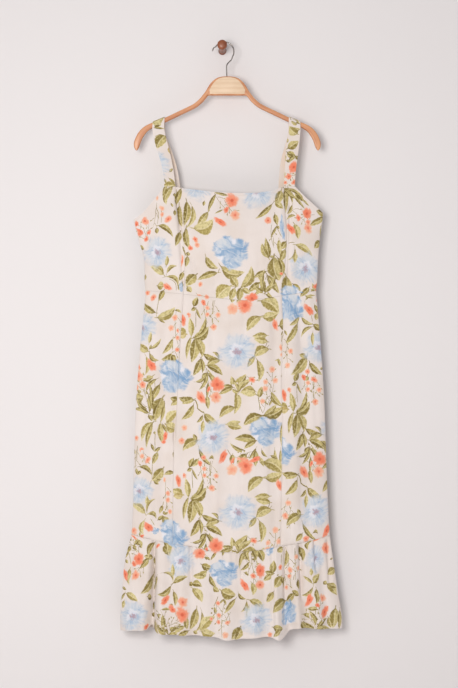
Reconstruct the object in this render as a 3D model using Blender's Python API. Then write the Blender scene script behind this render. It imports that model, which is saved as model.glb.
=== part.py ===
"""A midi sundress with a ruffled hem, on a wooden hanger that hangs on a round wall peg.

Lengths are in metres. The origin is the centre of the peg's back face, on the wall. +Z is up,
-Y is the front, and +X is on the right of someone who looks at the front.

The dress is a wall of cloth around a flattened ring. A place on the ring is an angle and a
height: the angle is 180 degrees at the left side seam, 90 at the middle of the front, 0 at the
right side seam and -90 at the middle of the back.
"""

import math
from collections import namedtuple

import bmesh
import bpy
from mathutils import Vector

# Driving dimensions of the cloth
CLOTH_WALL = 0.0012
STRAP_WALL = 0.0016
SEAM_GAP = 0.0003
HANGING_PLANE = -0.050
SIDE_FADE = 0.30
FOLD_END = 0.045
GATHER_AT_SEAM = 0.16
WAVE_GROWTH = 0.8
WAVE_WIDTH_AT_SEAM = 0.75
STRAP_DRAW_IN = 1.4

# Small steps of height and angle, over which the cloth's slope is measured
HEIGHT_STEP = 0.0004
ANGLE_STEP = 0.0020
PLACE_ROUNDS = 6
SIDE_CROWDING = 0.4

# Driving dimensions of the hanger, the hook and the peg
HANGER_MIDDLE = 0.0115
HANGER_THICKNESS = 0.012
HANGER_TIP_THICKNESS = 0.007
HANGER_ROUNDNESS = 5.0
HANGER_SIDES = 12
INLAY_THICKNESS = 0.0011
INLAY_MARGIN = 0.0040
INLAY_REACH = 0.0385
INLAY_STEPS = 9
INLAY_CORNER = 0.0015
STRAP_CLEARANCE = 0.0010
STRAP_TURN_STEP = 30
STRAP_COLUMNS = 3
ARM_HALF_HEIGHT = 0.0053
WIRE_RADIUS = 0.0014
HOOK_MIDDLE = (0.0043, -0.0122)
PEG_SHAFT_RADIUS = 0.0075
PEG_BASE_RADIUS = 0.0092
PEG_KNOB_RADIUS = 0.0110
PEG_SEGMENTS = 24

# The garment's silhouette, seen from the front, and how far its front and back stand from the
# hanging plane
Outline = namedtuple("Outline", "height left right front back")
OUTLINE = (
    Outline(-0.305, -0.2010, 0.2295, 0.0125, 0.0110),
    Outline(-0.350, -0.2010, 0.2294, 0.0185, 0.0140),
    Outline(-0.392, -0.2005, 0.2278, 0.0245, 0.0175),
    Outline(-0.433, -0.1913, 0.2221, 0.0270, 0.0190),
    Outline(-0.482, -0.1775, 0.2178, 0.0245, 0.0180),
    Outline(-0.528, -0.1768, 0.2160, 0.0220, 0.0170),
    Outline(-0.552, -0.1755, 0.2135, 0.0210, 0.0165),
    Outline(-0.582, -0.1766, 0.2160, 0.0220, 0.0170),
    Outline(-0.679, -0.1865, 0.2241, 0.0245, 0.0190),
    Outline(-0.798, -0.1956, 0.2318, 0.0260, 0.0205),
    Outline(-0.966, -0.2010, 0.2375, 0.0270, 0.0220),
    Outline(-1.094, -0.2059, 0.2438, 0.0275, 0.0230),
    Outline(-1.162, -0.2210, 0.2524, 0.0300, 0.0250),
    Outline(-1.230, -0.2274, 0.2623, 0.0320, 0.0265),
    Outline(-1.286, -0.2308, 0.2712, 0.0330, 0.0275),
    Outline(-1.340, -0.2305, 0.2725, 0.0335, 0.0280),
)

# Where the two long front seams run
FrontSeams = namedtuple("FrontSeams", "height left right")
FRONT_SEAMS = (
    FrontSeams(-0.310, -0.1048, 0.1381),
    FrontSeams(-0.370, -0.1003, 0.1428),
    FrontSeams(-0.408, -0.0947, 0.1455),
    FrontSeams(-0.466, -0.0868, 0.1446),
    FrontSeams(-0.560, -0.0872, 0.1350),
    FrontSeams(-0.618, -0.0910, 0.1361),
    FrontSeams(-0.753, -0.0988, 0.1339),
    FrontSeams(-0.887, -0.1085, 0.1339),
    FrontSeams(-1.122, -0.1111, 0.1307),
)

# Edges that run across, as heights at places across the front or the back
Edge = namedtuple("Edge", "across height")
FRONT_TOP = (
    Edge(-0.2010, -0.3925),
    Edge(-0.1780, -0.3760),
    Edge(-0.1520, -0.3460),
    Edge(-0.1300, -0.3180),
    Edge(-0.1048, -0.3180),
    Edge(-0.0890, -0.3219),
    Edge(-0.0188, -0.3304),
    Edge(0.0384, -0.3333),
    Edge(0.0781, -0.3327),
    Edge(0.1198, -0.3262),
    Edge(0.1381, -0.3170),
    Edge(0.1633, -0.3170),
    Edge(0.1900, -0.3440),
    Edge(0.2150, -0.3660),
    Edge(0.2292, -0.3780),
)
BACK_TOP = (
    Edge(-0.2010, -0.3925),
    Edge(-0.1780, -0.3880),
    Edge(-0.1480, -0.3640),
    Edge(-0.1193, -0.3260),
    Edge(-0.0938, -0.3260),
    Edge(-0.0750, -0.3400),
    Edge(0.0150, -0.3480),
    Edge(0.1080, -0.3400),
    Edge(0.1270, -0.3260),
    Edge(0.1525, -0.3260),
    Edge(0.1800, -0.3580),
    Edge(0.2080, -0.3770),
    Edge(0.2292, -0.3780),
)
FRONT_WAIST = (
    Edge(-0.1755, -0.5510),
    Edge(-0.0870, -0.5600),
    Edge(0.0400, -0.5735),
    Edge(0.0780, -0.5715),
    Edge(0.1380, -0.5630),
    Edge(0.2135, -0.5520),
)
BACK_WAIST = (
    Edge(-0.1755, -0.5510),
    Edge(-0.0870, -0.5580),
    Edge(0.0200, -0.5620),
    Edge(0.1300, -0.5585),
    Edge(0.2135, -0.5520),
)
FRONT_RUFFLE_SEAM = (
    Edge(-0.2059, -1.1009),
    Edge(-0.1055, -1.1216),
    Edge(-0.0719, -1.1245),
    Edge(-0.0183, -1.1365),
    Edge(0.0332, -1.1373),
    Edge(0.0869, -1.1328),
    Edge(0.1294, -1.1252),
    Edge(0.1685, -1.1195),
    Edge(0.2433, -1.1045),
)
BACK_RUFFLE_SEAM = (
    Edge(-0.2059, -1.1009),
    Edge(-0.1000, -1.1150),
    Edge(0.0200, -1.1200),
    Edge(0.1500, -1.1160),
    Edge(0.2433, -1.1045),
)
FRONT_HEM = (
    Edge(-0.2308, -1.3170),
    Edge(-0.1950, -1.3150),
    Edge(-0.1700, -1.3120),
    Edge(-0.1595, -1.3030),
    Edge(-0.1490, -1.3170),
    Edge(-0.1220, -1.3225),
    Edge(-0.0450, -1.3240),
    Edge(-0.0150, -1.3270),
    Edge(0.0090, -1.3330),
    Edge(0.0500, -1.3305),
    Edge(0.1050, -1.3270),
    Edge(0.1290, -1.3330),
    Edge(0.1430, -1.3240),
    Edge(0.1530, -1.3140),
    Edge(0.1740, -1.3080),
    Edge(0.2050, -1.3100),
    Edge(0.2720, -1.3130),
)
BACK_HEM = (
    Edge(-0.2308, -1.3170),
    Edge(-0.1500, -1.3150),
    Edge(-0.0600, -1.3210),
    Edge(0.0300, -1.3160),
    Edge(0.1200, -1.3200),
    Edge(0.2000, -1.3140),
    Edge(0.2720, -1.3130),
)

# The largest soft folds. A fold runs from a high place to a low one, and its rise is how far
# its middle stands out of the cloth, or in where it is below zero
Fold = namedtuple("Fold", "high_across high_height low_across low_height width rise")
FRONT_FOLDS = (
    Fold(-0.1100, -0.318, -0.1090, -0.420, 0.008, 0.0030),
    Fold(-0.0950, -0.330, -0.0860, -0.500, 0.008, -0.0045),
    Fold(-0.0740, -0.440, -0.0600, -0.520, 0.009, -0.0030),
    Fold(-0.1260, -0.330, -0.1500, -0.420, 0.009, -0.0025),
    Fold(-0.1500, -0.440, -0.1300, -0.540, 0.014, -0.0030),
    Fold(0.0150, -0.345, 0.0200, -0.545, 0.060, 0.0030),
    Fold(0.1300, -0.325, 0.1340, -0.460, 0.008, 0.0025),
    Fold(0.1520, -0.322, 0.1520, -0.420, 0.008, -0.0040),
    Fold(0.1640, -0.330, 0.1850, -0.400, 0.010, 0.0030),
    Fold(0.1900, -0.440, 0.1780, -0.545, 0.014, -0.0030),
    Fold(-0.1500, -0.575, -0.1650, -1.110, 0.015, 0.0040),
    Fold(-0.1220, -0.600, -0.1350, -1.120, 0.014, -0.0050),
    Fold(-0.0800, -0.590, -0.0850, -1.050, 0.014, -0.0035),
    Fold(-0.0300, -0.640, -0.0450, -1.130, 0.024, 0.0035),
    Fold(0.0250, -0.760, 0.0150, -1.130, 0.022, -0.0030),
    Fold(0.0850, -0.600, 0.0900, -1.000, 0.024, 0.0030),
    Fold(0.1200, -0.590, 0.1200, -1.120, 0.012, -0.0040),
    Fold(0.1550, -0.580, 0.1600, -1.120, 0.015, 0.0040),
    Fold(0.1800, -0.620, 0.1950, -1.110, 0.013, -0.0045),
)
BACK_FOLDS = (
    Fold(-0.1050, -0.330, -0.1000, -0.440, 0.012, 0.0025),
    Fold(0.1400, -0.330, 0.1350, -0.440, 0.012, 0.0025),
    Fold(-0.1300, -0.440, -0.1200, -0.545, 0.016, -0.0025),
    Fold(0.0300, -0.380, 0.0250, -0.550, 0.030, -0.0020),
    Fold(0.1650, -0.440, 0.1600, -0.545, 0.016, -0.0025),
    Fold(-0.1450, -0.580, -0.1600, -1.110, 0.016, 0.0035),
    Fold(-0.0900, -0.620, -0.1000, -1.110, 0.017, -0.0040),
    Fold(-0.0300, -0.580, -0.0350, -1.060, 0.022, 0.0035),
    Fold(0.0300, -0.700, 0.0350, -1.110, 0.018, -0.0035),
    Fold(0.0900, -0.590, 0.1000, -1.080, 0.020, 0.0035),
    Fold(0.1500, -0.610, 0.1650, -1.110, 0.017, -0.0040),
)

# The ruffle's gathers and waves. Each one opens from its place at the seam to its place at the
# hem, and its rise is reached at the hem
Wave = namedtuple("Wave", "seam_across hem_across width rise")
FRONT_WAVES = (
    Wave(-0.1880, -0.2080, 0.014, 0.0060),
    Wave(-0.1680, -0.1800, 0.011, 0.0070),
    Wave(-0.1510, -0.1590, 0.0100, -0.0150),
    Wave(-0.1330, -0.1380, 0.0110, 0.0080),
    Wave(-0.1120, -0.1080, 0.0100, -0.0045),
    Wave(-0.0960, -0.0880, 0.0110, 0.0040),
    Wave(-0.0760, -0.0620, 0.0130, -0.0065),
    Wave(-0.0420, -0.0330, 0.0140, 0.0035),
    Wave(-0.0200, -0.0120, 0.0100, -0.0035),
    Wave(0.0060, 0.0080, 0.0150, 0.0070),
    Wave(0.0380, 0.0430, 0.0130, -0.0045),
    Wave(0.0640, 0.0720, 0.0140, 0.0050),
    Wave(0.0900, 0.1010, 0.0110, -0.0045),
    Wave(0.1150, 0.1240, 0.0100, 0.0100),
    Wave(0.1390, 0.1520, 0.0105, -0.0120),
    Wave(0.1560, 0.1720, 0.0090, 0.0060),
    Wave(0.1740, 0.1930, 0.0100, -0.0060),
    Wave(0.1960, 0.2180, 0.0120, 0.0065),
    Wave(0.2150, 0.2400, 0.0100, -0.0045),
)
BACK_WAVES = (
    Wave(-0.1850, -0.2050, 0.0120, -0.0060),
    Wave(-0.1620, -0.1790, 0.0120, 0.0085),
    Wave(-0.1350, -0.1480, 0.0110, -0.0090),
    Wave(-0.1080, -0.1170, 0.0130, 0.0080),
    Wave(-0.0820, -0.0880, 0.0110, -0.0070),
    Wave(-0.0530, -0.0570, 0.0140, 0.0085),
    Wave(-0.0230, -0.0230, 0.0120, -0.0085),
    Wave(0.0060, 0.0100, 0.0130, 0.0075),
    Wave(0.0350, 0.0420, 0.0120, -0.0090),
    Wave(0.0660, 0.0750, 0.0130, 0.0085),
    Wave(0.0950, 0.1070, 0.0110, -0.0075),
    Wave(0.1230, 0.1370, 0.0130, 0.0090),
    Wave(0.1520, 0.1690, 0.0120, -0.0085),
    Wave(0.1790, 0.2000, 0.0130, 0.0080),
    Wave(0.2080, 0.2320, 0.0110, -0.0060),
)

# The straps, as the places of their two edges: down the front of the hanger and down its back
StrapRow = namedtuple("StrapRow", "height left right")
LEFT_STRAP_FRONT = (
    StrapRow(-0.1900, -0.1572, -0.1300),
    StrapRow(-0.2268, -0.1500, -0.1210),
    StrapRow(-0.2537, -0.1405, -0.1145),
    StrapRow(-0.2807, -0.1342, -0.1095),
    StrapRow(-0.3177, -0.1300, -0.1048),
)
LEFT_STRAP_BACK = (
    StrapRow(-0.1950, -0.1545, -0.1288),
    StrapRow(-0.2350, -0.1400, -0.1142),
    StrapRow(-0.2800, -0.1265, -0.1008),
    StrapRow(-0.3257, -0.1193, -0.0938),
)
RIGHT_STRAP_FRONT = (
    StrapRow(-0.1900, 0.1500, 0.1762),
    StrapRow(-0.2155, 0.1457, 0.1743),
    StrapRow(-0.2492, 0.1424, 0.1702),
    StrapRow(-0.2852, 0.1408, 0.1655),
    StrapRow(-0.3167, 0.1381, 0.1633),
)
RIGHT_STRAP_BACK = (
    StrapRow(-0.1900, 0.1500, 0.1758),
    StrapRow(-0.2160, 0.1439, 0.1696),
    StrapRow(-0.2500, 0.1344, 0.1600),
    StrapRow(-0.2860, 0.1290, 0.1545),
    StrapRow(-0.3257, 0.1270, 0.1525),
)

# The hanger's outline on one side of its middle, as pairs of places on its top and bottom edges
ArmRow = namedtuple("ArmRow", "top_out top_height bottom_out bottom_height")
ARM_ROWS = (
    ArmRow(0.0000, -0.0683, 0.0000, -0.1112),
    ArmRow(0.0120, -0.0690, 0.0115, -0.1112),
    ArmRow(0.0239, -0.0724, 0.0225, -0.1112),
    ArmRow(0.0335, -0.0795, 0.0315, -0.1112),
    ArmRow(0.0397, -0.0866, 0.0375, -0.1112),
    ArmRow(0.0450, -0.0952, 0.0415, -0.1114),
    ArmRow(0.0492, -0.1024, 0.0435, -0.1118),
    ArmRow(0.0555, -0.1106, 0.0480, -0.1172),
    ArmRow(0.0619, -0.1184, 0.0548, -0.1256),
    ArmRow(0.0745, -0.1295, 0.0692, -0.1376),
    ArmRow(0.0900, -0.1378, 0.0860, -0.1464),
    ArmRow(0.1061, -0.1453, 0.1022, -0.1540),
    ArmRow(0.1244, -0.1541, 0.1205, -0.1628),
    ArmRow(0.1427, -0.1627, 0.1390, -0.1714),
    ArmRow(0.1648, -0.1712, 0.1603, -0.1804),
    ArmRow(0.1800, -0.1775, 0.1735, -0.1872),
    ArmRow(0.1917, -0.1852, 0.1820, -0.1938),
    ArmRow(0.2005, -0.1950, 0.1880, -0.2020),
    ArmRow(0.2066, -0.2060, 0.1925, -0.2100),
    ArmRow(0.2105, -0.2170, 0.1960, -0.2190),
    ArmRow(0.2105, -0.2270, 0.1990, -0.2278),
    ArmRow(0.2078, -0.2332, 0.2018, -0.2330),
    ArmRow(0.2054, -0.2350, 0.2042, -0.2348),
)
MIDDLE_ROWS = 7
TIP_ROWS = 5

# The hook's end and neck, beside its round part, across and up in the hanging plane
HookPoint = namedtuple("HookPoint", "across height")
HOOK_END = (
    HookPoint(-0.0218, -0.0098),
    HookPoint(-0.0196, -0.0040),
)
HOOK_NECK = (
    HookPoint(0.0207, -0.0304),
    HookPoint(0.0140, -0.0370),
    HookPoint(0.0104, -0.0425),
    HookPoint(0.0098, -0.0500),
    HookPoint(0.0102, -0.0600),
    HookPoint(0.0104, -0.0680),
)
HOOK_ROUND_FROM = 150
HOOK_ROUND_TO = -30
HOOK_STEP = 12
WIRE_POINT_SPACING = 0.0036

# Looks of the materials: colour, roughness and metallic value
Finish = namedtuple("Finish", "colour roughness metallic")
CHIFFON = Finish((0.83, 0.76, 0.68, 1.0), 0.80, 0.0)
HANGER_WOOD = Finish((0.62, 0.32, 0.18, 1.0), 0.45, 0.0)
INLAY_WOOD = Finish((0.83, 0.62, 0.42, 1.0), 0.55, 0.0)
STEEL = Finish((0.60, 0.56, 0.53, 1.0), 0.30, 1.0)
PEG_WOOD = Finish((0.34, 0.12, 0.06, 1.0), 0.40, 0.0)


def between(start, end, share):
    return start + (end - start) * share


def smooth_share(share):
    share = min(1.0, max(0.0, share))
    return share * share * (3.0 - 2.0 * share)


def smooth_value(places, values, place):
    """The value at a place, on a smooth curve through the rows of a table with rising places."""
    if place <= places[0]:
        return values[0]
    if place >= places[-1]:
        return values[-1]
    row = 0
    while places[row + 1] < place:
        row += 1

    def slope(index):
        low = max(0, index - 1)
        high = min(len(places) - 1, index + 1)
        return (values[high] - values[low]) / (places[high] - places[low])

    span = places[row + 1] - places[row]
    share = (place - places[row]) / span
    square = share * share
    cube = square * share
    return (
        (2 * cube - 3 * square + 1) * values[row]
        + (cube - 2 * square + share) * span * slope(row)
        + (3 * square - 2 * cube) * values[row + 1]
        + (cube - square) * span * slope(row + 1)
    )


def straight_value(places, values, place):
    """The value at a place, on straight lines through the rows of a table with rising places."""
    if place <= places[0]:
        return values[0]
    if place >= places[-1]:
        return values[-1]
    row = 0
    while places[row + 1] < place:
        row += 1
    share = (place - places[row]) / (places[row + 1] - places[row])
    return between(values[row], values[row + 1], share)


def column(table, name):
    return [getattr(row, name) for row in table]


def rising(table):
    return tuple(reversed(table))


OUTLINE_UP = rising(OUTLINE)
OUTLINE_HEIGHTS = column(OUTLINE_UP, "height")
OUTLINE_COLUMNS = {name: column(OUTLINE_UP, name) for name in ("left", "right", "front", "back")}
SEAMS_UP = rising(FRONT_SEAMS)
SEAM_HEIGHTS = column(SEAMS_UP, "height")
SEAM_COLUMNS = {name: column(SEAMS_UP, name) for name in ("left", "right")}


def outline_at(height, name):
    return smooth_value(OUTLINE_HEIGHTS, OUTLINE_COLUMNS[name], height)


def middle_and_half(height):
    left = outline_at(height, "left")
    right = outline_at(height, "right")
    return (left + right) / 2, (right - left) / 2


def share_across(across, height):
    """A place across, as -1 at the left side seam to 1 at the right one."""
    middle, half = middle_and_half(height)
    return min(1.0, max(-1.0, (across - middle) / half))


class EdgeLine:
    """An edge that runs across the front or the back, read by the cosine of the ring's angle."""

    def __init__(self, table, value=straight_value):
        self.shares = [share_across(row.across, row.height) for row in table]
        self.shares[0] = -1.0
        self.shares[-1] = 1.0
        self.heights = [row.height for row in table]
        self.value = value

    def at(self, angle):
        return self.value(self.shares, self.heights, math.cos(angle))


def ring_point(angle, height):
    middle, half = middle_and_half(height)
    side = math.sin(angle)
    depth = outline_at(height, "front" if side >= 0 else "back")
    return Vector((middle + half * math.cos(angle), HANGING_PLANE - depth * side, height))


def fold_rise(angle, across, height):
    """How far the soft folds push the cloth out at a place on the ring."""
    side = math.sin(angle)
    rise = 0.0
    for fold in FRONT_FOLDS if side >= 0 else BACK_FOLDS:
        if not fold.low_height <= height <= fold.high_height:
            continue
        share = (fold.high_height - height) / (fold.high_height - fold.low_height)
        centre = between(fold.high_across, fold.low_across, share)
        ends = smooth_share((fold.high_height - height) / FOLD_END)
        ends *= smooth_share((height - fold.low_height) / FOLD_END)
        rise += fold.rise * ends * math.exp(-(((across - centre) / fold.width) ** 2))
    return rise * smooth_share(abs(side) / SIDE_FADE)


def wave_rise(angle, across, down):
    """How far the ruffle's waves push the cloth out, where down is 0 at its seam, 1 at its hem."""
    side = math.sin(angle)
    growth = between(GATHER_AT_SEAM, 1.0, max(0.0, down) ** WAVE_GROWTH)
    rise = 0.0
    for wave in FRONT_WAVES if side >= 0 else BACK_WAVES:
        centre = between(wave.seam_across, wave.hem_across, down)
        width = between(WAVE_WIDTH_AT_SEAM, 1.0, down) * wave.width
        rise += wave.rise * growth * math.exp(-(((across - centre) / width) ** 2))
    return rise * smooth_share(abs(side) / SIDE_FADE)


def outward(shape, angle, height):
    """The outward direction of a surface, which shape gives as points at angles and heights."""
    round_it = shape(angle + ANGLE_STEP, height) - shape(angle - ANGLE_STEP, height)
    up_it = shape(angle, height + HEIGHT_STEP) - shape(angle, height - HEIGHT_STEP)
    return up_it.cross(round_it).normalized()


def folded_point(angle, height):
    point = ring_point(angle, height)
    return point + outward(ring_point, angle, height) * fold_rise(angle, point.x, height)


def ruffle_point(angle, height, seam_height, hem_height):
    down = (seam_height - height) / (seam_height - hem_height)
    point = ring_point(angle, height)
    return point + outward(ring_point, angle, height) * wave_rise(angle, point.x, down)


def seam_angle(height, name):
    """The ring's angle where a long front seam runs."""
    across = smooth_value(SEAM_HEIGHTS, SEAM_COLUMNS[name], height)
    return math.acos(share_across(across, height))


LEFT_SIDE = math.pi
RIGHT_SIDE = 0.0
BACK_LEFT_SIDE = -math.pi

FRONT_TOP_EDGE = EdgeLine(FRONT_TOP)
BACK_TOP_EDGE = EdgeLine(BACK_TOP)
FRONT_WAIST_EDGE = EdgeLine(FRONT_WAIST, smooth_value)
BACK_WAIST_EDGE = EdgeLine(BACK_WAIST, smooth_value)
FRONT_RUFFLE_EDGE = EdgeLine(FRONT_RUFFLE_SEAM, smooth_value)
BACK_RUFFLE_EDGE = EdgeLine(BACK_RUFFLE_SEAM, smooth_value)
FRONT_HEM_EDGE = EdgeLine(FRONT_HEM, smooth_value)
BACK_HEM_EDGE = EdgeLine(BACK_HEM, smooth_value)


def material(name, finish):
    made = bpy.data.materials.new(name)
    made.use_nodes = True
    shader = made.node_tree.nodes["Principled BSDF"]
    shader.inputs["Base Color"].default_value = finish.colour
    shader.inputs["Roughness"].default_value = finish.roughness
    shader.inputs["Metallic"].default_value = finish.metallic
    return made


def new_object(name, mesh_builder, finish):
    """Turns a bmesh into an object of its own, shaded smooth, with its own material."""
    mesh = bpy.data.meshes.new(name)
    bmesh.ops.recalc_face_normals(mesh_builder, faces=mesh_builder.faces)
    mesh_builder.to_mesh(mesh)
    mesh_builder.free()
    mesh.materials.append(material(name, finish))
    mesh.shade_smooth()
    mesh.set_sharp_from_angle(angle=math.radians(40))
    made = bpy.data.objects.new(name, mesh)
    bpy.context.collection.objects.link(made)
    return made


def closed_wall(name, outer, inner, finish):
    """A wall between two grids of points, closed along its four edges."""
    builder = bmesh.new()
    rows = len(outer)
    columns = len(outer[0])
    outside = [[builder.verts.new(point) for point in row] for row in outer]
    inside = [[builder.verts.new(point) for point in row] for row in inner]
    for row in range(rows - 1):
        for place in range(columns - 1):
            corners = ((row, place), (row, place + 1), (row + 1, place + 1), (row + 1, place))
            builder.faces.new([outside[i][j] for i, j in corners])
            builder.faces.new([inside[i][j] for i, j in reversed(corners)])
    rim = [(0, place) for place in range(columns)]
    rim += [(row, columns - 1) for row in range(1, rows)]
    rim += [(rows - 1, place) for place in range(columns - 2, -1, -1)]
    rim += [(row, 0) for row in range(rows - 2, 0, -1)]
    for index, (i, j) in enumerate(rim):
        k, m = rim[(index + 1) % len(rim)]
        builder.faces.new((inside[i][j], inside[k][m], outside[k][m], outside[i][j]))
    return new_object(name, builder, finish)


def pulled_in(grid, sides):
    """Moves the edges of a grid of points half a seam gap inwards, on the named sides."""
    step = SEAM_GAP / 2

    def towards(point, neighbour):
        return point + (neighbour - point).normalized() * step

    if "low" in sides:
        grid[0] = [towards(a, b) for a, b in zip(grid[0], grid[1])]
    if "high" in sides:
        grid[-1] = [towards(a, b) for a, b in zip(grid[-1], grid[-2])]
    for row in grid:
        if "start" in sides:
            row[0] = towards(row[0], row[1])
        if "end" in sides:
            row[-1] = towards(row[-1], row[-2])
    return grid


def cloth_wall(name, place, shape, columns, rows, sides="low high start end"):
    """A panel of cloth. place turns a column and a row share into an angle and a height, and
    shape turns these into a point. The columns are a list of shares across the panel."""
    outer = []
    inner = []
    for row in range(rows + 1):
        outer_row = []
        inner_row = []
        for share in columns:
            angle, height = place(share, row / rows)
            point = shape(angle, height)
            outer_row.append(point)
            inner_row.append(point - outward(shape, angle, height) * CLOTH_WALL)
        outer.append(outer_row)
        inner.append(inner_row)
    return closed_wall(name, pulled_in(outer, sides), pulled_in(inner, sides), CHIFFON)


def panel_place(start, end, low_edge, high_edge):
    """Where the places of a panel are. start and end give its two sides' angles by height."""

    def place(across, up):
        height = between(low_edge.at(start(low_edge.heights[0])), high_edge.heights[0], up)
        for _ in range(PLACE_ROUNDS):
            angle = between(start(height), end(height), across)
            height = between(low_edge.at(angle), high_edge.at(angle), up)
        return angle, height

    return place


def even_shares(count):
    return [index / count for index in range(count + 1)]


def half_ring_shares(count):
    """Shares of a half turn from side seam to side seam, for columns that are nearly evenly
    spaced across, and a little closer together towards the two sides."""
    shares = []
    for index in range(count + 1):
        even = index / count
        rounded = (1 - math.cos(math.pi * even)) / 2
        across = between(even, rounded, SIDE_CROWDING)
        shares.append(math.acos(1 - 2 * across) / math.pi)
    return shares


def left_side(_height):
    return LEFT_SIDE


def right_side(_height):
    return RIGHT_SIDE


def back_left_side(_height):
    return BACK_LEFT_SIDE


def left_seam(height):
    return seam_angle(height, "left")


def right_seam(height):
    return seam_angle(height, "right")


def strap_edge_share(seam, side, strap_across):
    """The share of a front side panel, from its long seam to the side, where the strap ends."""
    height = FRONT_TOP_EDGE.at(math.acos(share_across(strap_across, FRONT_SEAMS[0].height)))
    angle = math.acos(share_across(strap_across, height))
    return (angle - seam(height)) / (side(height) - seam(height))


def side_panel_shares(strap_share, strap_columns, other_columns):
    """Shares across a front side panel, from its seam, with a column at the strap's edge."""
    shares = [strap_share * index / strap_columns for index in range(strap_columns)]
    for index in range(other_columns + 1):
        shares.append(between(strap_share, 1.0, index / other_columns))
    return shares


def mirrored_shares(shares):
    return [1 - share for share in reversed(shares)]


def make_bodice():
    left_strap = strap_edge_share(left_seam, left_side, LEFT_STRAP_FRONT[-1].left)
    right_strap = strap_edge_share(right_seam, right_side, RIGHT_STRAP_FRONT[-1].right)
    left_shares = mirrored_shares(side_panel_shares(left_strap, 3, 7))
    right_shares = side_panel_shares(right_strap, 3, 7)
    front = (FRONT_WAIST_EDGE, FRONT_TOP_EDGE)
    cloth_wall(
        "bodice_front_left", panel_place(left_side, left_seam, *front), folded_point, left_shares, 13
    )
    cloth_wall(
        "bodice_front_centre",
        panel_place(left_seam, right_seam, *front),
        folded_point,
        even_shares(18),
        13,
    )
    cloth_wall(
        "bodice_front_right",
        panel_place(right_seam, right_side, *front),
        folded_point,
        right_shares,
        13,
    )
    cloth_wall(
        "bodice_back",
        panel_place(right_side, back_left_side, BACK_WAIST_EDGE, BACK_TOP_EDGE),
        folded_point,
        back_shares(),
        10,
    )


def back_shares():
    """Shares across the bodice's back, with a column at each edge of each strap."""
    marks = [0.0]
    for across in (
        RIGHT_STRAP_BACK[-1].right,
        RIGHT_STRAP_BACK[-1].left,
        LEFT_STRAP_BACK[-1].right,
        LEFT_STRAP_BACK[-1].left,
    ):
        angle = math.acos(share_across(across, BACK_TOP[3].height))
        marks.append(angle / math.pi)
    marks.append(1.0)
    shares = []
    for start, end, count in zip(marks, marks[1:], (6, 2, 9, 2, 6)):
        shares += [between(start, end, index / count) for index in range(count)]
    return shares + [1.0]


def make_skirt():
    front = (FRONT_RUFFLE_EDGE, FRONT_WAIST_EDGE)
    cloth_wall(
        "skirt_front_left",
        panel_place(left_side, left_seam, *front),
        folded_point,
        even_shares(10),
        14,
    )
    cloth_wall(
        "skirt_front_centre",
        panel_place(left_seam, right_seam, *front),
        folded_point,
        even_shares(18),
        14,
    )
    cloth_wall(
        "skirt_front_right",
        panel_place(right_seam, right_side, *front),
        folded_point,
        even_shares(10),
        14,
    )
    cloth_wall(
        "skirt_back",
        panel_place(right_side, back_left_side, BACK_RUFFLE_EDGE, BACK_WAIST_EDGE),
        folded_point,
        half_ring_shares(24),
        12,
    )


def make_ruffle():
    for name, start, end, hem, seam, count in (
        ("ruffle_front", left_side, right_side, FRONT_HEM_EDGE, FRONT_RUFFLE_EDGE, 76),
        ("ruffle_back", right_side, back_left_side, BACK_HEM_EDGE, BACK_RUFFLE_EDGE, 64),
    ):

        def shape(angle, height, seam=seam, hem=hem):
            return ruffle_point(angle, height, seam.at(angle), hem.at(angle))

        cloth_wall(
            name,
            panel_place(start, end, hem, seam),
            shape,
            half_ring_shares(count),
            6,
            sides="high start end",
        )


def arm_middle_height(out):
    """The height of the middle of the hanger's arm at a distance from the hanger's middle."""
    rows = ARM_ROWS[:-TIP_ROWS]
    outs = [(row.top_out + row.bottom_out) / 2 for row in rows]
    heights = [(row.top_height + row.bottom_height) / 2 for row in rows]
    return straight_value(outs, heights, out)


def strap_leg(table, side, reach):
    """One side of a strap from the hanger down to the bodice, as pairs of edge points. side is
    1 for the front and -1 for the back, and reach is the leg's distance from the hanging plane
    beside the hanger."""
    high = table[0]
    low = table[-1]
    rows = []
    for row in table:
        share = smooth_share(STRAP_DRAW_IN * (row.height - low.height) / (high.height - low.height))
        pair = []
        for across, low_across in ((row.left, low.left), (row.right, low.right)):
            angle = side * math.acos(share_across(low_across, low.height))
            at_bodice = ring_point(angle, low.height).y + side * CLOTH_WALL / 2
            y = between(at_bodice, HANGING_PLANE - side * reach, share)
            pair.append(Vector((across, y, row.height)))
        rows.append(tuple(pair))
    return rows


def strap_rows(front, back):
    """The strap's two edges: up the front, over the hanger's arm and down the back."""
    reach = HANGER_THICKNESS / 2 + STRAP_CLEARANCE + STRAP_WALL / 2
    rise = ARM_HALF_HEIGHT + STRAP_CLEARANCE + STRAP_WALL / 2
    power = 2 / HANGER_ROUNDNESS
    rows = list(reversed(strap_leg(front, 1, reach)))
    for degrees in range(0, 181, STRAP_TURN_STEP):
        turn = math.radians(degrees)
        shift = degrees / 180
        left = between(front[0].left, back[0].left, shift)
        right = between(front[0].right, back[0].right, shift)
        edge = []
        for across in (left, right):
            middle = arm_middle_height(abs(across - HANGER_MIDDLE))
            y = HANGING_PLANE - reach * rounded_power(math.cos(turn), power)
            edge.append(Vector((across, y, middle + rise * rounded_power(math.sin(turn), power))))
        rows.append(tuple(edge))
    return rows + strap_leg(back, -1, reach)


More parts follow.
